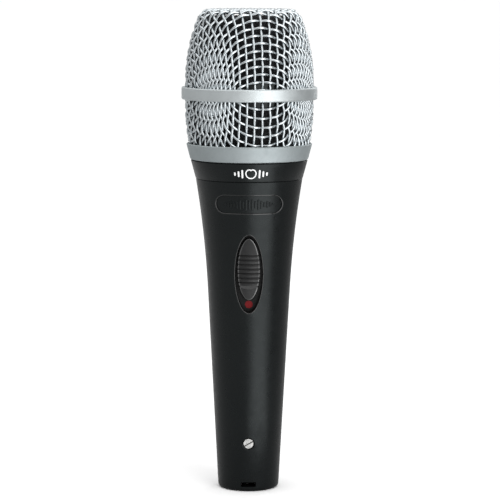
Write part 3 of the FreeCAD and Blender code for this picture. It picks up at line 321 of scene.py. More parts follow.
def black_plastic(name, rough, specular):
    """Moulded plastic with a fine spark-eroded grain."""
    paint = Paint(name, (0.009, 0.0092, 0.0095), rough, specular=specular)
    paint.mottle(paint.grain(0.15, 3.0), 0.85, 1.15)
    paint.dull(paint.grain(0.8, 3.0), 0.05)
    paint.bump(paint.grain(5.0, 3.0), 0.4, 0.012)
    return paint


def turned_metal(name, colour, rough, lines=0.25):
    """Plated metal with fine lines round the axis."""
    paint = Paint(name, colour, rough, metallic=1.0)
    paint.mottle(paint.grain(0.4, 3.0), 0.92, 1.06)
    paint.dull(paint.grain(1.0, 3.0), 0.05)
    paint.bump(paint.grain(0.5, 3.0, paint.stretched(0.1, 0.1, 14.0)), lines, 0.006)
    return paint


def grey_felt():
    """Fine woven or felted cloth."""
    paint = Paint("grey_felt", (0.22, 0.22, 0.22), 0.9, specular=0.2)
    threads = paint.pores(4.0, paint.stretched(1.0, 1.0, 2.0))
    paint.mottle(threads, 1.3, 0.6, 0.1, 0.6)
    paint.bump(threads, 0.7, 0.08)
    paint.shader.inputs["Sheen Weight"].default_value = 0.25
    return paint


PLAIN_FINISHES = {
    "worn_paint": dict(colour=(0.004, 0.0045, 0.0048), rough=0.16, specular=0.7, grain=3.0, spread=0.03),
    "red_mark": dict(colour=(0.13, 0.004, 0.006), rough=0.4, specular=0.15, grain=2.0, vary=0.3),
    # A near-black whose darkness is painted shade: in the button's grooves, and on the switch bezel, whose
    # own black is darkened for the shade of the recess round the button.
    "painted_shade_black": dict(colour=(0.002, 0.002, 0.0021), rough=0.5, specular=0.2, grain=4.0, vary=0.2),
    "circuit_board": dict(colour=(0.02, 0.11, 0.045), rough=0.38, vary=0.2),
    "insulating_board": dict(colour=(0.20, 0.10, 0.035), rough=0.6, grain=0.8, vary=0.25, depth=0.03),
    "clear_film": dict(colour=(0.55, 0.55, 0.50), rough=0.2, grain=0.6, vary=0.08, depth=0.02),
    "mount_rubber": dict(colour=(0.020, 0.020, 0.021), rough=0.7, specular=0.3, grain=1.0, depth=0.03),
    "lead_insulation": dict(colour=(0.32, 0.02, 0.018), rough=0.45, grain=0.8, vary=0.15),
    "lead_blue": dict(colour=(0.02, 0.05, 0.22), rough=0.45, grain=0.8, vary=0.15),
    "lead_yellow": dict(colour=(0.45, 0.33, 0.03), rough=0.45, grain=0.8, vary=0.15),
    "lead_black": dict(colour=(0.02, 0.02, 0.021), rough=0.45, grain=0.8, vary=0.15),
    "white_print": dict(colour=(0.86, 0.87, 0.87), rough=0.5, grain=2.5, vary=0.04, depth=0.008),
}
METAL_FINISHES = {
    "bright_nickel": dict(colour=(0.80, 0.79, 0.76), rough=0.16),
    "screw_steel": dict(colour=(0.44, 0.44, 0.43), rough=0.18, lines=0.4),
    "contact_metal": dict(colour=(0.83, 0.78, 0.66), rough=0.18, lines=0.15),
    "magnet_iron": dict(colour=(0.33, 0.33, 0.34), rough=0.4),
    "capsule_shell": dict(colour=(0.62, 0.62, 0.63), rough=0.35),
    "coil_copper": dict(colour=(0.70, 0.28, 0.10), rough=0.32, lines=0.8),
}


def make_materials():
    """One finish for each material slot of the record, and a few more for pieces that share a slot."""
    made = {
        "body_paint": body_paint(),
        "satin_nickel": satin_nickel("satin_nickel", (0.57, 0.61, 0.62), 0.53),
        # The collar's nickel is rougher than the band's, and its colour is darkened as painted shade for the
        # darker surroundings it reflects.
        "dull_nickel_painted_shade": satin_nickel("dull_nickel_painted_shade", (0.40, 0.44, 0.45), 0.68),
        "mesh_wire": mesh_wire(),
        "black_foam": black_foam(),
        "black_plastic": black_plastic("black_plastic", 0.36, 0.35),
        "worn_plastic": black_plastic("worn_plastic", 0.12, 1.4),
        "grey_felt": grey_felt(),
    }
    made.update({name: plain(name, **values) for name, values in PLAIN_FINISHES.items()})
    made.update({name: turned_metal(name, **values) for name, values in METAL_FINISHES.items()})
    return {name: paint.material for name, paint in made.items()}


# Nodes whose finish isn't that of their material slot.
OWN_FINISH = {
    # Collar: rougher nickel whose darkened colour is painted shade.
    "grille_collar": "dull_nickel_painted_shade",
    # The bezel's own black, darkened with painted shade for the recess round the button.
    "switch_bezel": "painted_shade_black",
    "xlr_lock_screw": "screw_steel",
    "lead_capsule_cold": "lead_blue",
    "lead_switch_out": "lead_yellow",
    "lead_ground": "lead_black",
}


def dress_nodes(finishes):
    """Gives every CAD node its finish."""
    for row in frame["record"]["subparts"]:
        name = row["node"]
        finish = finishes[OWN_FINISH.get(name, row["material_slot"])]
        slots = NODES[name].data.materials
        slots.clear()
        slots.append(finish)


def finished(piece, finish, body):
    """Gives a new piece its finish and the body it rides on."""
    piece.data.materials.append(finish)
    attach(piece, body)


# ---------------------------------------------------------------------------------------------
# Woven grille: a square net of wire drawn over each bowl, so that its cells shear into diamonds
# between the four meridians that follow the wires

BOWL_RISE = 28.0
CORNER_ROUND = 5.0
BOWL_SKIRT = 35.0
FLAT_STEPS, CORNER_STEPS, FLANK_STEPS, SKIRT_STEPS = 60, 24, 80, 60
FINE_STEPS = 2000
MARCH_STEPS = 1500
SURFACE_STEPS = 300
UPPER_SIDE = 66.0
LOWER_SIDE = 73.0
LOWER_WAIST = 150.0
SHELL_INSET = 0.8
SPLIT_GAP = 0.1
FOOT_GAP = 0.2
WIRE_RADIUS = 0.48
WIRE_CRIMP = 0.46
WIRE_SIDES = 8
WEAVE_STEPS = 6
# Distance between two crossings along each of the two wire directions.
UPPER_PITCHES = (2.95, 3.25)
LOWER_PITCHES = (3.5, 3.2)
NET_HALF = 17
NET_TURN = math.radians(12)
MARCH_ROUNDS = 30
RELAXING_ROUNDS = 60
STRAIGHTENING = 0.08
SHORT_DIAGONAL = 1.9


def bowl_outline(radius, side, inset):
    """Radius and height of a bowl from its pole, over the rounded corner and past its widest place at 0."""
    centre = radius - side
    corner_level = BOWL_RISE - CORNER_ROUND
    reach = centre + math.sqrt((side - CORNER_ROUND) ** 2 - corner_level ** 2)
    lean = math.atan2(corner_level, reach - centre)
    corner = np.linspace(math.pi / 2, lean, CORNER_STEPS)[1:]
    flank = np.linspace(lean, 0, FLANK_STEPS)[1:]
    flat = [(x, BOWL_RISE - inset) for x in np.linspace(0, reach, FLAT_STEPS)]
    small, large = CORNER_ROUND - inset, side - inset
    tight = [(reach + small * math.cos(a), corner_level + small * math.sin(a)) for a in corner]
    wide = [(centre + large * math.cos(a), large * math.sin(a)) for a in flank]
    straight = [(radius - inset, -h) for h in np.linspace(0, BOWL_SKIRT, SKIRT_STEPS)[1:]]
    return np.array(flat + tight + wide + straight)


def evenly(outline, count):
    """Count points an equal length apart along the outline: the length to each, and the points."""
    run = np.concatenate([[0], np.cumsum(np.hypot(*np.diff(outline, axis=0).T))])
    at = np.linspace(0, run[-1], count)
    return at, np.stack([np.interp(at, run, outline[:, 0]), np.interp(at, run, outline[:, 1])], 1)


def onto(outline, points):
    """Points moved onto the surface that the outline sweeps round the axis, with the outward normals."""
    radius = np.hypot(points[..., 0], points[..., 1])
    flat = np.stack([radius.ravel(), points[..., 2].ravel()], 1)
    nearest = ((flat[:, None] - outline[None]) ** 2).sum(-1).argmin(1)
    start = outline[np.clip(nearest - 1, 0, len(outline) - 1)]
    step = outline[np.clip(nearest + 1, 0, len(outline) - 1)] - start
    share = np.clip(((flat - start) * step).sum(1) / (step * step).sum(1), 0, 1)
    level = (start + step * share[:, None]).reshape(radius.shape + (2,))
    across = np.stack([-step[:, 1], step[:, 0]], 1) / np.hypot(*step.T)[:, None]
    across = across.reshape(radius.shape + (2,))
    way = points[..., :2] / np.maximum(radius, 1e-9)[..., None]
    moved = np.concatenate([way * level[..., :1], level[..., 1:]], -1)
    return moved, np.concatenate([way * across[..., :1], across[..., 1:]], -1)


def march(outline, pitches):
    """A quarter of the net: each crossing lies one pitch from the two before it."""
    count = NET_HALF + 1
    length, fine = evenly(outline, MARCH_STEPS)
    net = np.full((count, count, 3), np.nan)
    for k in range(count):
        for axis, pitch in enumerate(pitches):
            r, h = (np.interp(k * pitch, length, fine[:, column]) for column in (0, 1))
            net[(k, 0) if axis == 0 else (0, k)] = (r, 0, h) if axis == 0 else (0, r, h)
    for total in range(2, 2 * count - 1):
        for i in range(max(1, total - count + 1), min(count, total)):
            a, b = net[i - 1, total - i], net[i, total - i - 1]
            point = a + b - net[i - 1, total - i - 1]
            for _ in range(MARCH_ROUNDS):
                for end, pitch in zip((a, b), pitches):
                    away = point - end
                    point = end + away * (pitch / max(np.linalg.norm(away), 1e-9))
                point = onto(fine, point[None])[0][0]
            net[i, total - i] = point
    return net


def relaxed(outline, pitches):
    """The whole net, let go so that the wires straighten and no cell folds flat, and its outline."""
    quarter = march(outline, pitches)
    size, mid = 2 * NET_HALF + 1, NET_HALF
    net = np.zeros((size, size, 3))
    net[mid:, mid:] = quarter
    net[:mid, mid:] = quarter[:0:-1] * (-1, 1, 1)
    net[mid:, :mid] = quarter[:, :0:-1] * (1, -1, 1)
    net[:mid, :mid] = quarter[:0:-1, :0:-1] * (-1, -1, 1)
    surface = evenly(outline, SURFACE_STEPS)[1]
    low, high = slice(0, size - 1), slice(1, size)
    for _ in range(RELAXING_ROUNDS):
        for axis in (0, 1):
            bend = np.zeros_like(net)
            rows, bends = (np.moveaxis(a, axis, 0) for a in (net, bend))
            bends[1:-1] = (rows[:-2] + rows[2:]) / 2 - rows[1:-1]
            net = net + STRAIGHTENING * bend
        for axis, pitch in enumerate(pitches):
            for first in (0, 1):
                rows = np.moveaxis(net, axis, 0)
                a, b = rows[first:size - 1:2], rows[first + 1::2]
                edge = b - a
                length = np.linalg.norm(edge, axis=-1, keepdims=True)
                pull = edge * (length - pitch) / length / 4
                a += pull
                b -= pull
        for one, other in (((low, low), (high, high)), ((high, low), (low, high))):
            edge = net[other] - net[one]
            length = np.linalg.norm(edge, axis=-1, keepdims=True)
            push = edge * np.clip(SHORT_DIAGONAL - length, 0, None) / length / 4
            apart = np.zeros_like(net)
            apart[one] -= push
            apart[other] += push
            net = net + apart
        net = (net + net[::-1] * (-1, 1, 1)) / 2
        net = (net + net[:, ::-1] * (1, -1, 1)) / 2
        net = onto(surface, net)[0]
    return net, surface


def between(line, parts):
    """Smooth curve through a row of points, with this many steps from each to the next."""
    ends = np.concatenate([[2 * line[0] - line[1]], line, [2 * line[-1] - line[-2]]])
    a, b, c, d = (ends[k:len(ends) - 3 + k, None] for k in range(4))
    t = (np.arange(parts) / parts)[None, :, None]
    square, cube = 2 * a - 5 * b + 4 * c - d, 3 * b - a - 3 * c + d
    curve = 0.5 * (2 * b + (c - a) * t + square * t ** 2 + cube * t ** 3)
    return np.concatenate([curve.reshape(-1, 3), line[-1:]])


def sampled(values, places):
    """Rows of values at fractional places."""
    index = np.arange(len(values))
    return np.stack([np.interp(places, index, values[:, c]) for c in range(3)], 1)


def clipped(path, normals, low, high):
    """The stretches of a path between two heights, cut exactly at them."""
    inside = (path[:, 2] >= low) & (path[:, 2] <= high)
    runs, start = [], None
    for k in range(len(path) + 1):
        here = k < len(path) and inside[k]
        if here and start is None:
            start = k
        if not here and start is not None:
            places = [float(p) for p in range(start, k)]
            for end, nxt in ((start, start - 1), (k - 1, k)):
                if 0 <= nxt < len(path):
                    bound = low if path[nxt, 2] < low else high
                    share = (bound - path[end, 2]) / (path[nxt, 2] - path[end, 2])
                    place = end + (nxt - end) * share
                    places.insert(0 if nxt < end else len(places), place)
            if len(places) > 2:
                runs.append([sampled(values, places) for values in (path, normals)])
            start = None
    return runs


def tube(path, normals, radius, sides, points, faces):
    """Adds a round wire along a path to the lists, with its ends closed."""
    along = np.gradient(path, axis=0)
    along /= np.linalg.norm(along, axis=1, keepdims=True)
    up = normals - along * (normals * along).sum(1, keepdims=True)
    up /= np.linalg.norm(up, axis=1, keepdims=True)
    side = np.cross(along, up)
    first = len(points)
    turns = np.arange(sides) * 2 * math.pi / sides
    rings = path[:, None] + radius * (np.cos(turns)[None, :, None] * up[:, None]
                                      + np.sin(turns)[None, :, None] * side[:, None])
    points.extend(rings.reshape(-1, 3).tolist())
    wrap(first, sides, len(path) - 1, faces)
    faces.append(tuple(first + k for k in reversed(range(sides))))
    last = first + (len(path) - 1) * sides
    faces.append(tuple(last + k for k in range(sides)))


def weave(name, side, pitches, level, way, low, high):
    """Both wire directions of one bowl; way is 1 for the bowl that rises and -1 for the one that hangs."""
    radius = levels(name)[2]
    net, surface = relaxed(bowl_outline(radius, side, SHELL_INSET), pitches)
    points, faces = [], []
    for axis in (0, 1):
        rows = np.moveaxis(net, axis, 0)
        for index, row in enumerate(rows):
            path, normals = onto(surface, between(row, WEAVE_STEPS))
            step = np.arange(len(path)) / WEAVE_STEPS
            over = np.cos(math.pi * (step + index + axis)) * WIRE_CRIMP
            for run, outward in clipped(path + normals * over[:, None], normals, low, high):
                tube(run, outward, WIRE_RADIUS, WIRE_SIDES, points, faces)
    points = np.array(points) * (1, 1, way) + (0, 0, level)
    cosine, sine = math.cos(NET_TURN - math.pi / 2), math.sin(NET_TURN - math.pi / 2)
    spin = np.array([[cosine, sine, 0], [-sine, cosine, 0], [0, 0, 1]])
    if way < 0:
        faces = [face[::-1] for face in faces]
    return build(name + "_woven", points @ spin, faces)


def make_grille(finishes):
    split, summit, _ = levels("upper_mesh")
    waist = summit - BOWL_RISE
    foot = levels("lower_mesh")[0]
    upper = weave("upper_mesh", UPPER_SIDE, UPPER_PITCHES, waist, 1, split + SPLIT_GAP - waist, BOWL_RISE)
    lower = weave("lower_mesh", LOWER_SIDE, LOWER_PITCHES, LOWER_WAIST, -1,
                  LOWER_WAIST - split + SPLIT_GAP, LOWER_WAIST - foot - FOOT_GAP)
    for piece, node in ((upper, "upper_mesh"), (lower, "lower_mesh")):
        finished(piece, finishes["mesh_wire"], "grille")
        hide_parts(node)


# ---------------------------------------------------------------------------------------------
# Foam liners


FOAM_THICKNESS = 2.0
FOAM_AROUND = 220
FOAM_LUMP = 0.10
FOAM_GRAIN = 0.9
DOME_RINGS = (120, 80)
SLEEVE_RINGS = (60, 40)


def foam_shell(name, outer, inner):
    """A closed shell between two outlines of (radius, height), with the uneven face of cut foam."""
    ring = np.concatenate([outer, inner[::-1]])
    points, faces, rows = [], [], []
    for r, h in ring:
        if r < 1e-6:
            rows.append([len(points)])
            points.append((0, 0, h))
            continue
        rows.append(list(range(len(points), len(points) + FOAM_AROUND)))
        for k in range(FOAM_AROUND):
            turn = 2 * math.pi * k / FOAM_AROUND
            place = Vector((r * math.cos(turn), r * math.sin(turn), h))
            swell = FOAM_LUMP * noise.fractal(place * FOAM_GRAIN, 0.6, 2.0, 3)
            points.append(tuple(place * (1 + swell / max(place.length, 1.0))))
    for lower, upper in zip(rows, rows[1:] + rows[:1]):
        if len(lower) == 1 and len(upper) == 1:
            continue
        for k in range(FOAM_AROUND):
            nxt = (k + 1) % FOAM_AROUND
            if len(lower) == 1:
                faces.append((lower[0], upper[nxt], upper[k]))
            elif len(upper) == 1:
                faces.append((lower[k], lower[nxt], upper[0]))
            else:
                faces.append((lower[k], lower[nxt], upper[nxt], upper[k]))
    return build(name, points, faces)


def bowl_ring(side, inset, start, end, count):
    """Part of a bowl's outline between two heights, from the lower one up."""
    outline = evenly(bowl_outline(levels("upper_mesh")[2], side, inset), FINE_STEPS)[1][::-1]
    keep = outline[(outline[:, 1] >= start) & (outline[:, 1] <= end)]
    return keep[np.linspace(0, len(keep) - 1, count).astype(int)]


def make_foams(finishes):
    summit = levels("upper_mesh")[1]
    waist = summit - BOWL_RISE
    low, high, _ = levels("foam_dome")
    outer = summit - high
    inner = outer + FOAM_THICKNESS
    outside = bowl_ring(UPPER_SIDE, outer, low - waist, BOWL_RISE - outer, DOME_RINGS[0])
    inside = bowl_ring(UPPER_SIDE, inner, low - waist, BOWL_RISE - inner, DOME_RINGS[1])
    outside[-1, 0] = inside[-1, 0] = 0.0
    dome = foam_shell("foam_dome_cut", outside + (0, waist), inside + (0, waist))
    low, high, _ = levels("foam_sleeve")
    span = (LOWER_WAIST - high, LOWER_WAIST - low)
    outside, inside = (
        bowl_ring(LOWER_SIDE, inset, *span, count) * (1, -1) + (0, LOWER_WAIST)
        for inset, count in zip((outer, inner), SLEEVE_RINGS)
    )
    sleeve = foam_shell("foam_sleeve_cut", outside, inside)
    for piece, node, body in ((dome, "foam_dome", "grille"), (sleeve, "foam_sleeve", "foam_sleeve")):
        finished(piece, finishes["black_foam"], body)
        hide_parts(node)


# ---------------------------------------------------------------------------------------------
# Marks on the front: a printed pick-up pattern symbol and a row of raised level bars

OUTSIDE = 60.0
RAISED_FOOT = -0.1
BAR_WIDTH = 0.66
MARK_LEVEL = 125.6
MARK_MIDDLE = 0.7
MARK_BARS = (3.3, 2.3, 1.4)
MARK_BAR_START = 3.3
MARK_BAR_PITCH = 1.45
HEART_SIZE = 1.5
HEART_STEPS = 72
HEART_CENTRE = 0.875
STROKE = 0.42
PRINT_RISE = 0.02
FIELD_LEVEL = 113.6
FIELD_BARS = (1.1, 1.8, 2.7, 2.0, 3.2, 4.1, 2.9, 4.4, 3.5, 4.4, 2.9, 4.1, 3.2, 2.0, 2.7, 1.8, 1.1)
FIELD_BAR_PITCH = 1.18
FIELD_BAR_RISE = 0.3
FIELD_BAR_EDGE = 0.12


class Skin:
    """Places flat drawings on the front of a CAD node."""

    def __init__(self, node, level):
        points = [tuple(v.co / MM) for v in NODES[node].data.vertices]
        self.tree = BVHTree.FromPolygons(points, [tuple(p.vertices) for p in NODES[node].data.polygons])
        self.level = level
        self.radius = -self.hit(0, level)[0].y

    def hit(self, x, z):
        """The point of the front at x and z, and the normal there."""
        return self.tree.ray_cast(Vector((x, -OUTSIDE, z)), Vector((0, 1, 0)))[:2]

    def at(self, u, v, rise):
        """The point u along and v up from the middle, this far off the surface."""
        turn = u / self.radius
        start = Vector((math.sin(turn) * OUTSIDE, -math.cos(turn) * OUTSIDE, self.level + v))
        way = Vector((-math.sin(turn), math.cos(turn), 0))
        place, normal = self.tree.ray_cast(start, way)[:2]
        return place + normal * (rise if normal.dot(way) < 0 else -rise)


def raised(skin, outline, height, bevel, points, faces):
    """Adds a raised shape over a convex outline of (u, v), with a rounded edge."""
    outline = np.array(outline, float)
    middle = outline.mean(0)
    inward = middle - outline
    inward /= np.linalg.norm(inward, axis=1, keepdims=True)
    first, count = len(points), len(outline)
    profile = ((0.0, RAISED_FOOT), (0.0, height - bevel), (0.3, height - 0.3 * bevel), (1.0, height))
    for share, rise in profile:
        for u, v in outline + inward * share * bevel:
            points.append(tuple(skin.at(u, v, rise)))
    points.append(tuple(skin.at(*middle, height)))
    wrap(first, count, 3, faces)
    for k in range(count):
        faces.append((first + 3 * count + k, first + 3 * count + (k + 1) % count, first + 4 * count))


def bar_outline(place, width, height):
    """A bar with round ends, this far along from the middle."""
    r = width / 2
    straight = height / 2 - r
    end = [(r * math.cos(a), straight + r * math.sin(a)) for a in np.linspace(0, math.pi, 5)]
    half = end + [(-r, v) for v in np.linspace(straight, -straight, 4)[1:-1]]
    return [(place + way * u, way * v) for way in (1, -1) for u, v in half]


def ribbon(skin, line, width, rise, points, faces):
    """Adds a flat closed stroke along a closed line of (u, v)."""
    line = np.array(line, float)
    along = np.roll(line, -1, 0) - np.roll(line, 1, 0)
    along /= np.linalg.norm(along, axis=1, keepdims=True)
    across = np.stack([-along[:, 1], along[:, 0]], 1) * width / 2
    first, count = len(points), len(line)
    for offset, height in ((-1, -rise), (-1, rise), (1, rise), (1, -rise)):
        for u, v in line + across * offset:
            points.append(tuple(skin.at(u, v, height)))
    wrap(first, count, 3, faces)


def make_mark(finishes):
    """A heart-shaped pick-up pattern between two rows of shortening bars."""
    skin = Skin("handle_top_ring", MARK_LEVEL)
    points, faces, heart = [], [], []
    for k in range(HEART_STEPS):
        a = 2 * math.pi * k / HEART_STEPS
        reach = HEART_SIZE * (1 - math.cos(a))
        heart.append((reach * math.sin(a) + MARK_MIDDLE, reach * math.cos(a) + HEART_SIZE * HEART_CENTRE))
    ribbon(skin, heart, STROKE, PRINT_RISE, points, faces)
    for side in (-1, 1):
        for index, tall in enumerate(MARK_BARS):
            place = MARK_MIDDLE + side * (MARK_BAR_START + index * MARK_BAR_PITCH)
            raised(skin, bar_outline(place, BAR_WIDTH, tall), PRINT_RISE, PRINT_RISE / 2, points, faces)
    finished(build("pattern_mark", points, faces, smooth=False), finishes["white_print"], "handle")


def make_level_bars(finishes):
    """A row of raised bars in the sunk field."""
    skin = Skin("handle", FIELD_LEVEL)
    points, faces = [], []
    for index, tall in enumerate(FIELD_BARS):
        place = (index - (len(FIELD_BARS) - 1) / 2) * FIELD_BAR_PITCH
        raised(skin, bar_outline(place, BAR_WIDTH, tall), FIELD_BAR_RISE, FIELD_BAR_EDGE, points, faces)
    finished(build("level_bars", points, faces), finishes["body_paint"], "handle")


# ---------------------------------------------------------------------------------------------
# Switch button: a slope, six ribs, a lip and a tail over the outline of its CAD solid. Its points
# are u across, v up along the handle's taper from the switch's middle and h out of the surface.

SWITCH_LEVEL = 86.4
SWITCH_RADIUS = 16.565
SWITCH_LEAN = math.radians(4.3)
BUTTON_MIDDLE = 1.7
BUTTON_HALF_WIDTH = 4.45
BUTTON_HALF_LENGTH = 12.4
BUTTON_EDGE = 0.6
BUTTON_FOOT = -2.05
CREST = 0.85
CROWN = 14.0
BROW = 7.95
FIRST_GROOVE = 7.3
RIB_PITCH = 1.76
RIB_GROOVES = 7
GROOVE_RADIUS = 0.45
GROOVE_DEPTH = 0.42
TIP_LEVEL = -1.1
HEEL = -4.25
TAIL_LEVEL = -0.1
LIP_LENGTH = 1.65
LIP_BOW = 1.3
LIP_HALF = 4.3
SLOPE_CROWN = 0.018
TAIL_CROWN = 0.012
GROOVE_BLEND = 0.05
# Faces deeper than this share of a groove's depth take the painted shade.
GROOVE_SHADE_SHARE = 0.92
LIP_WORN = (0.05, 0.95)
BUTTON_ROWS = 330
BUTTON_END_ROWS = 25
BUTTON_COLUMNS = 61
TIP_TRIM = 0.005
POST_BOX = ((-1.5, 1.5), (-1.2, 4.8), (BUTTON_FOOT + 0.1, -4.8))


def off_switch(u, v, h):
    """Points of the switch's leaning frame in the microphone's frame."""
    y = -SWITCH_RADIUS - h * math.cos(SWITCH_LEAN) - v * math.sin(SWITCH_LEAN)
    z = SWITCH_LEVEL - h * math.sin(SWITCH_LEAN) + v * math.cos(SWITCH_LEAN)
    return np.stack([u, y, z], -1)


def button_inset(u, v):
    """Distance inside the button's oval outline."""
    across, along = u / BUTTON_HALF_WIDTH, (v - BUTTON_MIDDLE) / BUTTON_HALF_LENGTH
    share = np.maximum(np.hypot(across, along), 1e-6)
    slope = np.hypot(across / BUTTON_HALF_WIDTH, along / BUTTON_HALF_LENGTH) / share
    return (1 - share) / np.maximum(slope, 1e-6)


def button_half_width(v):
    return BUTTON_HALF_WIDTH * np.sqrt(np.maximum(1 - ((v - BUTTON_MIDDLE) / BUTTON_HALF_LENGTH) ** 2, 0))


def groove_cut(v):
    """Depth of the grooves at a height."""
    near = (v - FIRST_GROOVE) / RIB_PITCH
    away = (near - np.clip(np.round(near), 1 - RIB_GROOVES, 0)) * RIB_PITCH
    groove = np.sqrt(np.maximum(GROOVE_RADIUS ** 2 - away ** 2, 0)) - GROOVE_RADIUS + GROOVE_DEPTH
    return (groove + np.hypot(groove, GROOVE_BLEND)) / 2


def lip_share(u, v):
    """How far down the lip a place lies: 0 on the ribs and 1 on the tail."""
    foot = HEEL - LIP_LENGTH + LIP_BOW * (u / LIP_HALF) ** 2
    return np.clip((HEEL - v) / np.maximum(HEEL - foot, 0.1), 0, 1)


def button_height(u, v):
    """Height of the button's top, with its grooves and its rounded edge."""
    top, foot = BUTTON_MIDDLE + BUTTON_HALF_LENGTH, BUTTON_MIDDLE - BUTTON_HALF_LENGTH
    crest = CREST - (CROWN - np.sqrt(CROWN ** 2 - u ** 2))
    ribs = crest - groove_cut(v)
    slope = np.interp(v, (BROW, top), (CREST, TIP_LEVEL)) - SLOPE_CROWN * u ** 2
    tail = np.interp(v, (foot, HEEL - LIP_LENGTH), (TIP_LEVEL, TAIL_LEVEL)) - TAIL_CROWN * u ** 2
    height = np.where(v > BROW, slope, np.where(v > HEEL, ribs, ribs + (tail - ribs) * lip_share(u, v)))
    edge = np.clip(BUTTON_EDGE - button_inset(u, v), 0, BUTTON_EDGE)
    return height - (BUTTON_EDGE - np.sqrt(BUTTON_EDGE ** 2 - edge ** 2))


def make_button(finishes):
    columns = BUTTON_COLUMNS
    ends = np.sin(np.linspace(-math.pi / 2, math.pi / 2, BUTTON_END_ROWS))
    even = np.linspace(-1, 1, BUTTON_ROWS - BUTTON_END_ROWS + 1)
    along = np.unique(np.concatenate([even[1:-1], ends])) * (BUTTON_HALF_LENGTH - TIP_TRIM) + BUTTON_MIDDLE
    across = np.sin(np.linspace(-math.pi / 2, math.pi / 2, columns))
    v = np.repeat(along[:, None], columns, 1)
    u = button_half_width(along)[:, None] * across[None]
    top = off_switch(u, v, button_height(u, v)).reshape(-1, 3)
    count = len(along)
    loop = list(range(columns))
    loop += [(r + 1) * columns - 1 for r in range(1, count)]
    loop += [count * columns - 1 - c for c in range(1, columns)]
    loop += [(count - 1 - r) * columns for r in range(1, count - 1)]
    rim_u, rim_v = u.ravel()[loop], v.ravel()[loop]
    foot = off_switch(rim_u, rim_v, np.full(len(loop), BUTTON_FOOT))
    points = [*top, *foot]
    faces = []
    for r in range(count - 1):
        for c in range(columns - 1):
            a = r * columns + c
            faces.append((a, a + 1, a + columns + 1, a + columns))
    base = len(top)
    for k, a in enumerate(loop):
        nxt = (k + 1) % len(loop)
        faces.append((loop[nxt], a, base + k, base + nxt))
    faces.append(tuple(base + k for k in range(len(loop))))
    wide, tall, deep = POST_BOX
    post = [(a, b, h) for h in deep for b in tall for a in wide]
    first = len(points)
    points += [*off_switch(*np.array(post).T)]
    for face in ((0, 2, 3, 1), (4, 5, 7, 6), (0, 1, 5, 4), (2, 6, 7, 3), (0, 4, 6, 2), (1, 3, 7, 5)):
        faces.append(tuple(first + k for k in face))
    button = build("button_ribbed", points, faces)
    # The foot and the six sides of the post come last and stay flat.
    for face in button.data.polygons[-7:]:
        face.use_smooth = False
    finished(button, finishes["black_plastic"], "switch_button")
    for name in ("worn_plastic", "painted_shade_black"):
        button.data.materials.append(finishes[name])
    # Slot 1 is the worn plastic of the edge and the lip, and slot 2 a near-black that paints shade into the
    # bottoms of the grooves.
    middle_u, middle_v = ((a[:-1, :-1] + a[1:, :-1] + a[:-1, 1:] + a[1:, 1:]) / 4 for a in (u, v))
    share = lip_share(middle_u, middle_v)
    worn = (button_inset(middle_u, middle_v) < BUTTON_EDGE) | ((share > LIP_WORN[0]) & (share < LIP_WORN[1]))
    # Faces deep in the grooves take the painted shade, and the edge and the lip take the worn plastic.
    kinds = np.where(groove_cut(middle_v) > GROOVE_DEPTH * GROOVE_SHADE_SHARE, 2, np.where(worn, 1, 0)).ravel()
    button.data.polygons.foreach_set("material_index", [*kinds, *[0] * (len(faces) - len(kinds))])
    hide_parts("switch_button")


# ---------------------------------------------------------------------------------------------
# Rounded edges of the openings in the handle's skin, where the paint is worn to a gloss

WINDOW_HALF = (5.6, 15.5)
WINDOW_STEPS = 160
WINDOW_BEAD = (0.22, 0.16)
FIELD_HALF = (12.85, 3.5)
FIELD_STEPS = 40
FIELD_MARGIN = 0.2
FIELD_BEAD = (0.3, 0.275)
EDGE_PROBE = 0.6
EDGE_SIDES = 12


def edge_bead(name, outline, bead, finish):
    """A rounded edge along a closed counterclockwise outline of (x, z); bead is its radius and how
    deep its middle lies in the handle."""
    radius, sink = bead
    skin = Skin("handle", FIELD_LEVEL)
    outline = np.array(outline)
    along = np.roll(outline, -1, 0) - np.roll(outline, 1, 0)
    along /= np.linalg.norm(along, axis=1, keepdims=True)
    path, normals = [], []
    for (x, z), (dx, dz) in zip(outline, along):
        place, normal = skin.hit(x + dz * EDGE_PROBE, z - dx * EDGE_PROBE)
        normal = normal if normal.y < 0 else -normal
        y = place.y + ((place.x - x) * normal.x + (place.z - z) * normal.z) / normal.y
        path.append(np.array((x, y, z)) - np.array(normal) * sink)
        normals.append(tuple(normal))
    points, faces = [], []
    tube(np.array([*path, path[0]]), np.array([*normals, normals[0]]), radius, EDGE_SIDES, points, faces)
    finished(build(name, points, faces), finish, "handle")


def make_worn_edges(finishes):
    turns = np.arange(WINDOW_STEPS) * 2 * math.pi / WINDOW_STEPS
    wide, tall = WINDOW_HALF
    window = off_switch(wide * np.cos(turns), tall * np.sin(turns), np.zeros(WINDOW_STEPS))
    edge_bead("window_edge", window[:, (0, 2)], WINDOW_BEAD, finishes["worn_paint"])
    length, height = FIELD_HALF
    straight, reach = length - height, height + FIELD_MARGIN
    bend = np.linspace(-math.pi / 2, math.pi / 2, FIELD_STEPS)
    run = np.linspace(straight, -straight, FIELD_STEPS)[1:-1]
    right = np.stack([straight + reach * np.cos(bend), reach * np.sin(bend)], 1)
    upper = np.stack([run, np.full(len(run), reach)], 1)
    field = np.concatenate([right, upper, -right, -upper]) + (0, FIELD_LEVEL)
    edge_bead("field_edge", field, FIELD_BEAD, finishes["worn_paint"])


# ---------------------------------------------------------------------------------------------
# Top ring with its real thread

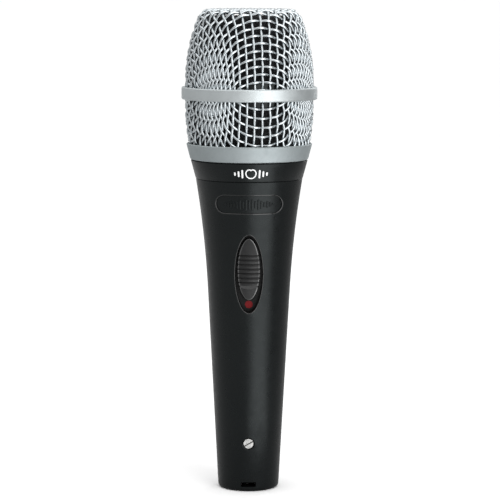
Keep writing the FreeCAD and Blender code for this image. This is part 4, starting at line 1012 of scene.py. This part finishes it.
THREAD_PITCH = 1.0
THREAD_ROOT = 19.6
THREAD_CREST = 20.1
THREAD_SPAN = (130.3, 135.0)
THREAD_STEP = 0.1
THREAD_FADE = 0.5
THREAD_RUN_OUT = 0.4
FLANK_SLOPE = 4.0
FLANK_REACH = 1.5
RING_AROUND = 192
SHARP_ANGLE = math.radians(30)
RING_OUTLINE = [
    (15.5, 118.5), (18.9, 118.5), (18.9, 122.4), (20.7, 122.4),
    (20.95, 122.65), (22.75, 129.3), (22.5, 129.55), (19.6, 129.55),
]
RING_BORE = [(19.6, 135.4), (18.0, 135.4), (18.0, 121.0), (15.5, 121.0)]


def make_threaded_ring(finishes):
    """The ring turned from its outline; its neck's radius rises and falls with the thread's helix."""
    low, high = THREAD_SPAN
    neck = [(None, z) for z in np.arange(low - THREAD_RUN_OUT, high + THREAD_RUN_OUT, THREAD_STEP)]
    outline = [*RING_OUTLINE, *neck, *RING_BORE]
    points, faces = [], []
    for k in range(RING_AROUND):
        turn = 2 * math.pi * k / RING_AROUND
        for r, z in outline:
            if r is None:
                rise = (z / THREAD_PITCH - k / RING_AROUND) % 1
                ridge = np.clip(FLANK_REACH - abs(rise - 0.5) * FLANK_SLOPE, 0, 1)
                fade = np.clip(min(z - low, high - z) / THREAD_FADE, 0, 1)
                r = THREAD_ROOT + (THREAD_CREST - THREAD_ROOT) * ridge * fade
            points.append((r * math.sin(turn), -r * math.cos(turn), z))
    size = len(outline)
    for k in range(RING_AROUND):
        here, there = k * size, (k + 1) % RING_AROUND * size
        for j in range(size):
            nxt = (j + 1) % size
            faces.append((here + j, there + j, there + nxt, here + nxt))
    ring = build("top_ring_threaded", points, faces)
    ring.data.set_sharp_from_angle(angle=SHARP_ANGLE)
    finished(ring, finishes["body_paint"], "handle")
    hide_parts("handle_top_ring")


def make_floor():
    """A pale floor far wider than the view, which lights the microphone less than it shows."""
    paint = plain("pale_floor", (FLOOR_COLOUR,) * 3, 0.9, grain=0.02, depth=0.02, vary=0.0, specular=0.1)
    tree = paint.tree
    seen = tree.nodes.new("ShaderNodeLightPath").outputs["Is Camera Ray"]
    shade = paint.add("ShaderNodeMix", data_type="RGBA")
    split = paint.add("ShaderNodeSeparateXYZ")
    paint.link(paint.where, split.inputs[0])
    bounce = paint.span(split.outputs["X"], *FLOOR_BOUNCE, *FLOOR_BOUNCE_SPAN)
    paint.link(bounce, shade.inputs[6])
    shade.inputs[7].default_value = (FLOOR_COLOUR, FLOOR_COLOUR, FLOOR_COLOUR, 1)
    paint.link(seen, shade.inputs[0])
    paint.link(shade.outputs[2], paint.shader.inputs["Base Color"])
    far = FLOOR_REACH
    floor = build("floor", [(-far, -far, 0), (far, -far, 0), (far, far, 0), (-far, far, 0)], [(0, 1, 2, 3)])
    floor.data.materials.append(paint.material)


make_camera()
make_world()
bpy.context.scene.view_settings.view_transform = "Standard"
make_lights()
FINISHES = make_materials()
dress_nodes(FINISHES)
make_grille(FINISHES)
make_foams(FINISHES)
make_mark(FINISHES)
make_level_bars(FINISHES)
make_button(FINISHES)
make_worn_edges(FINISHES)
make_threaded_ring(FINISHES)
make_floor()
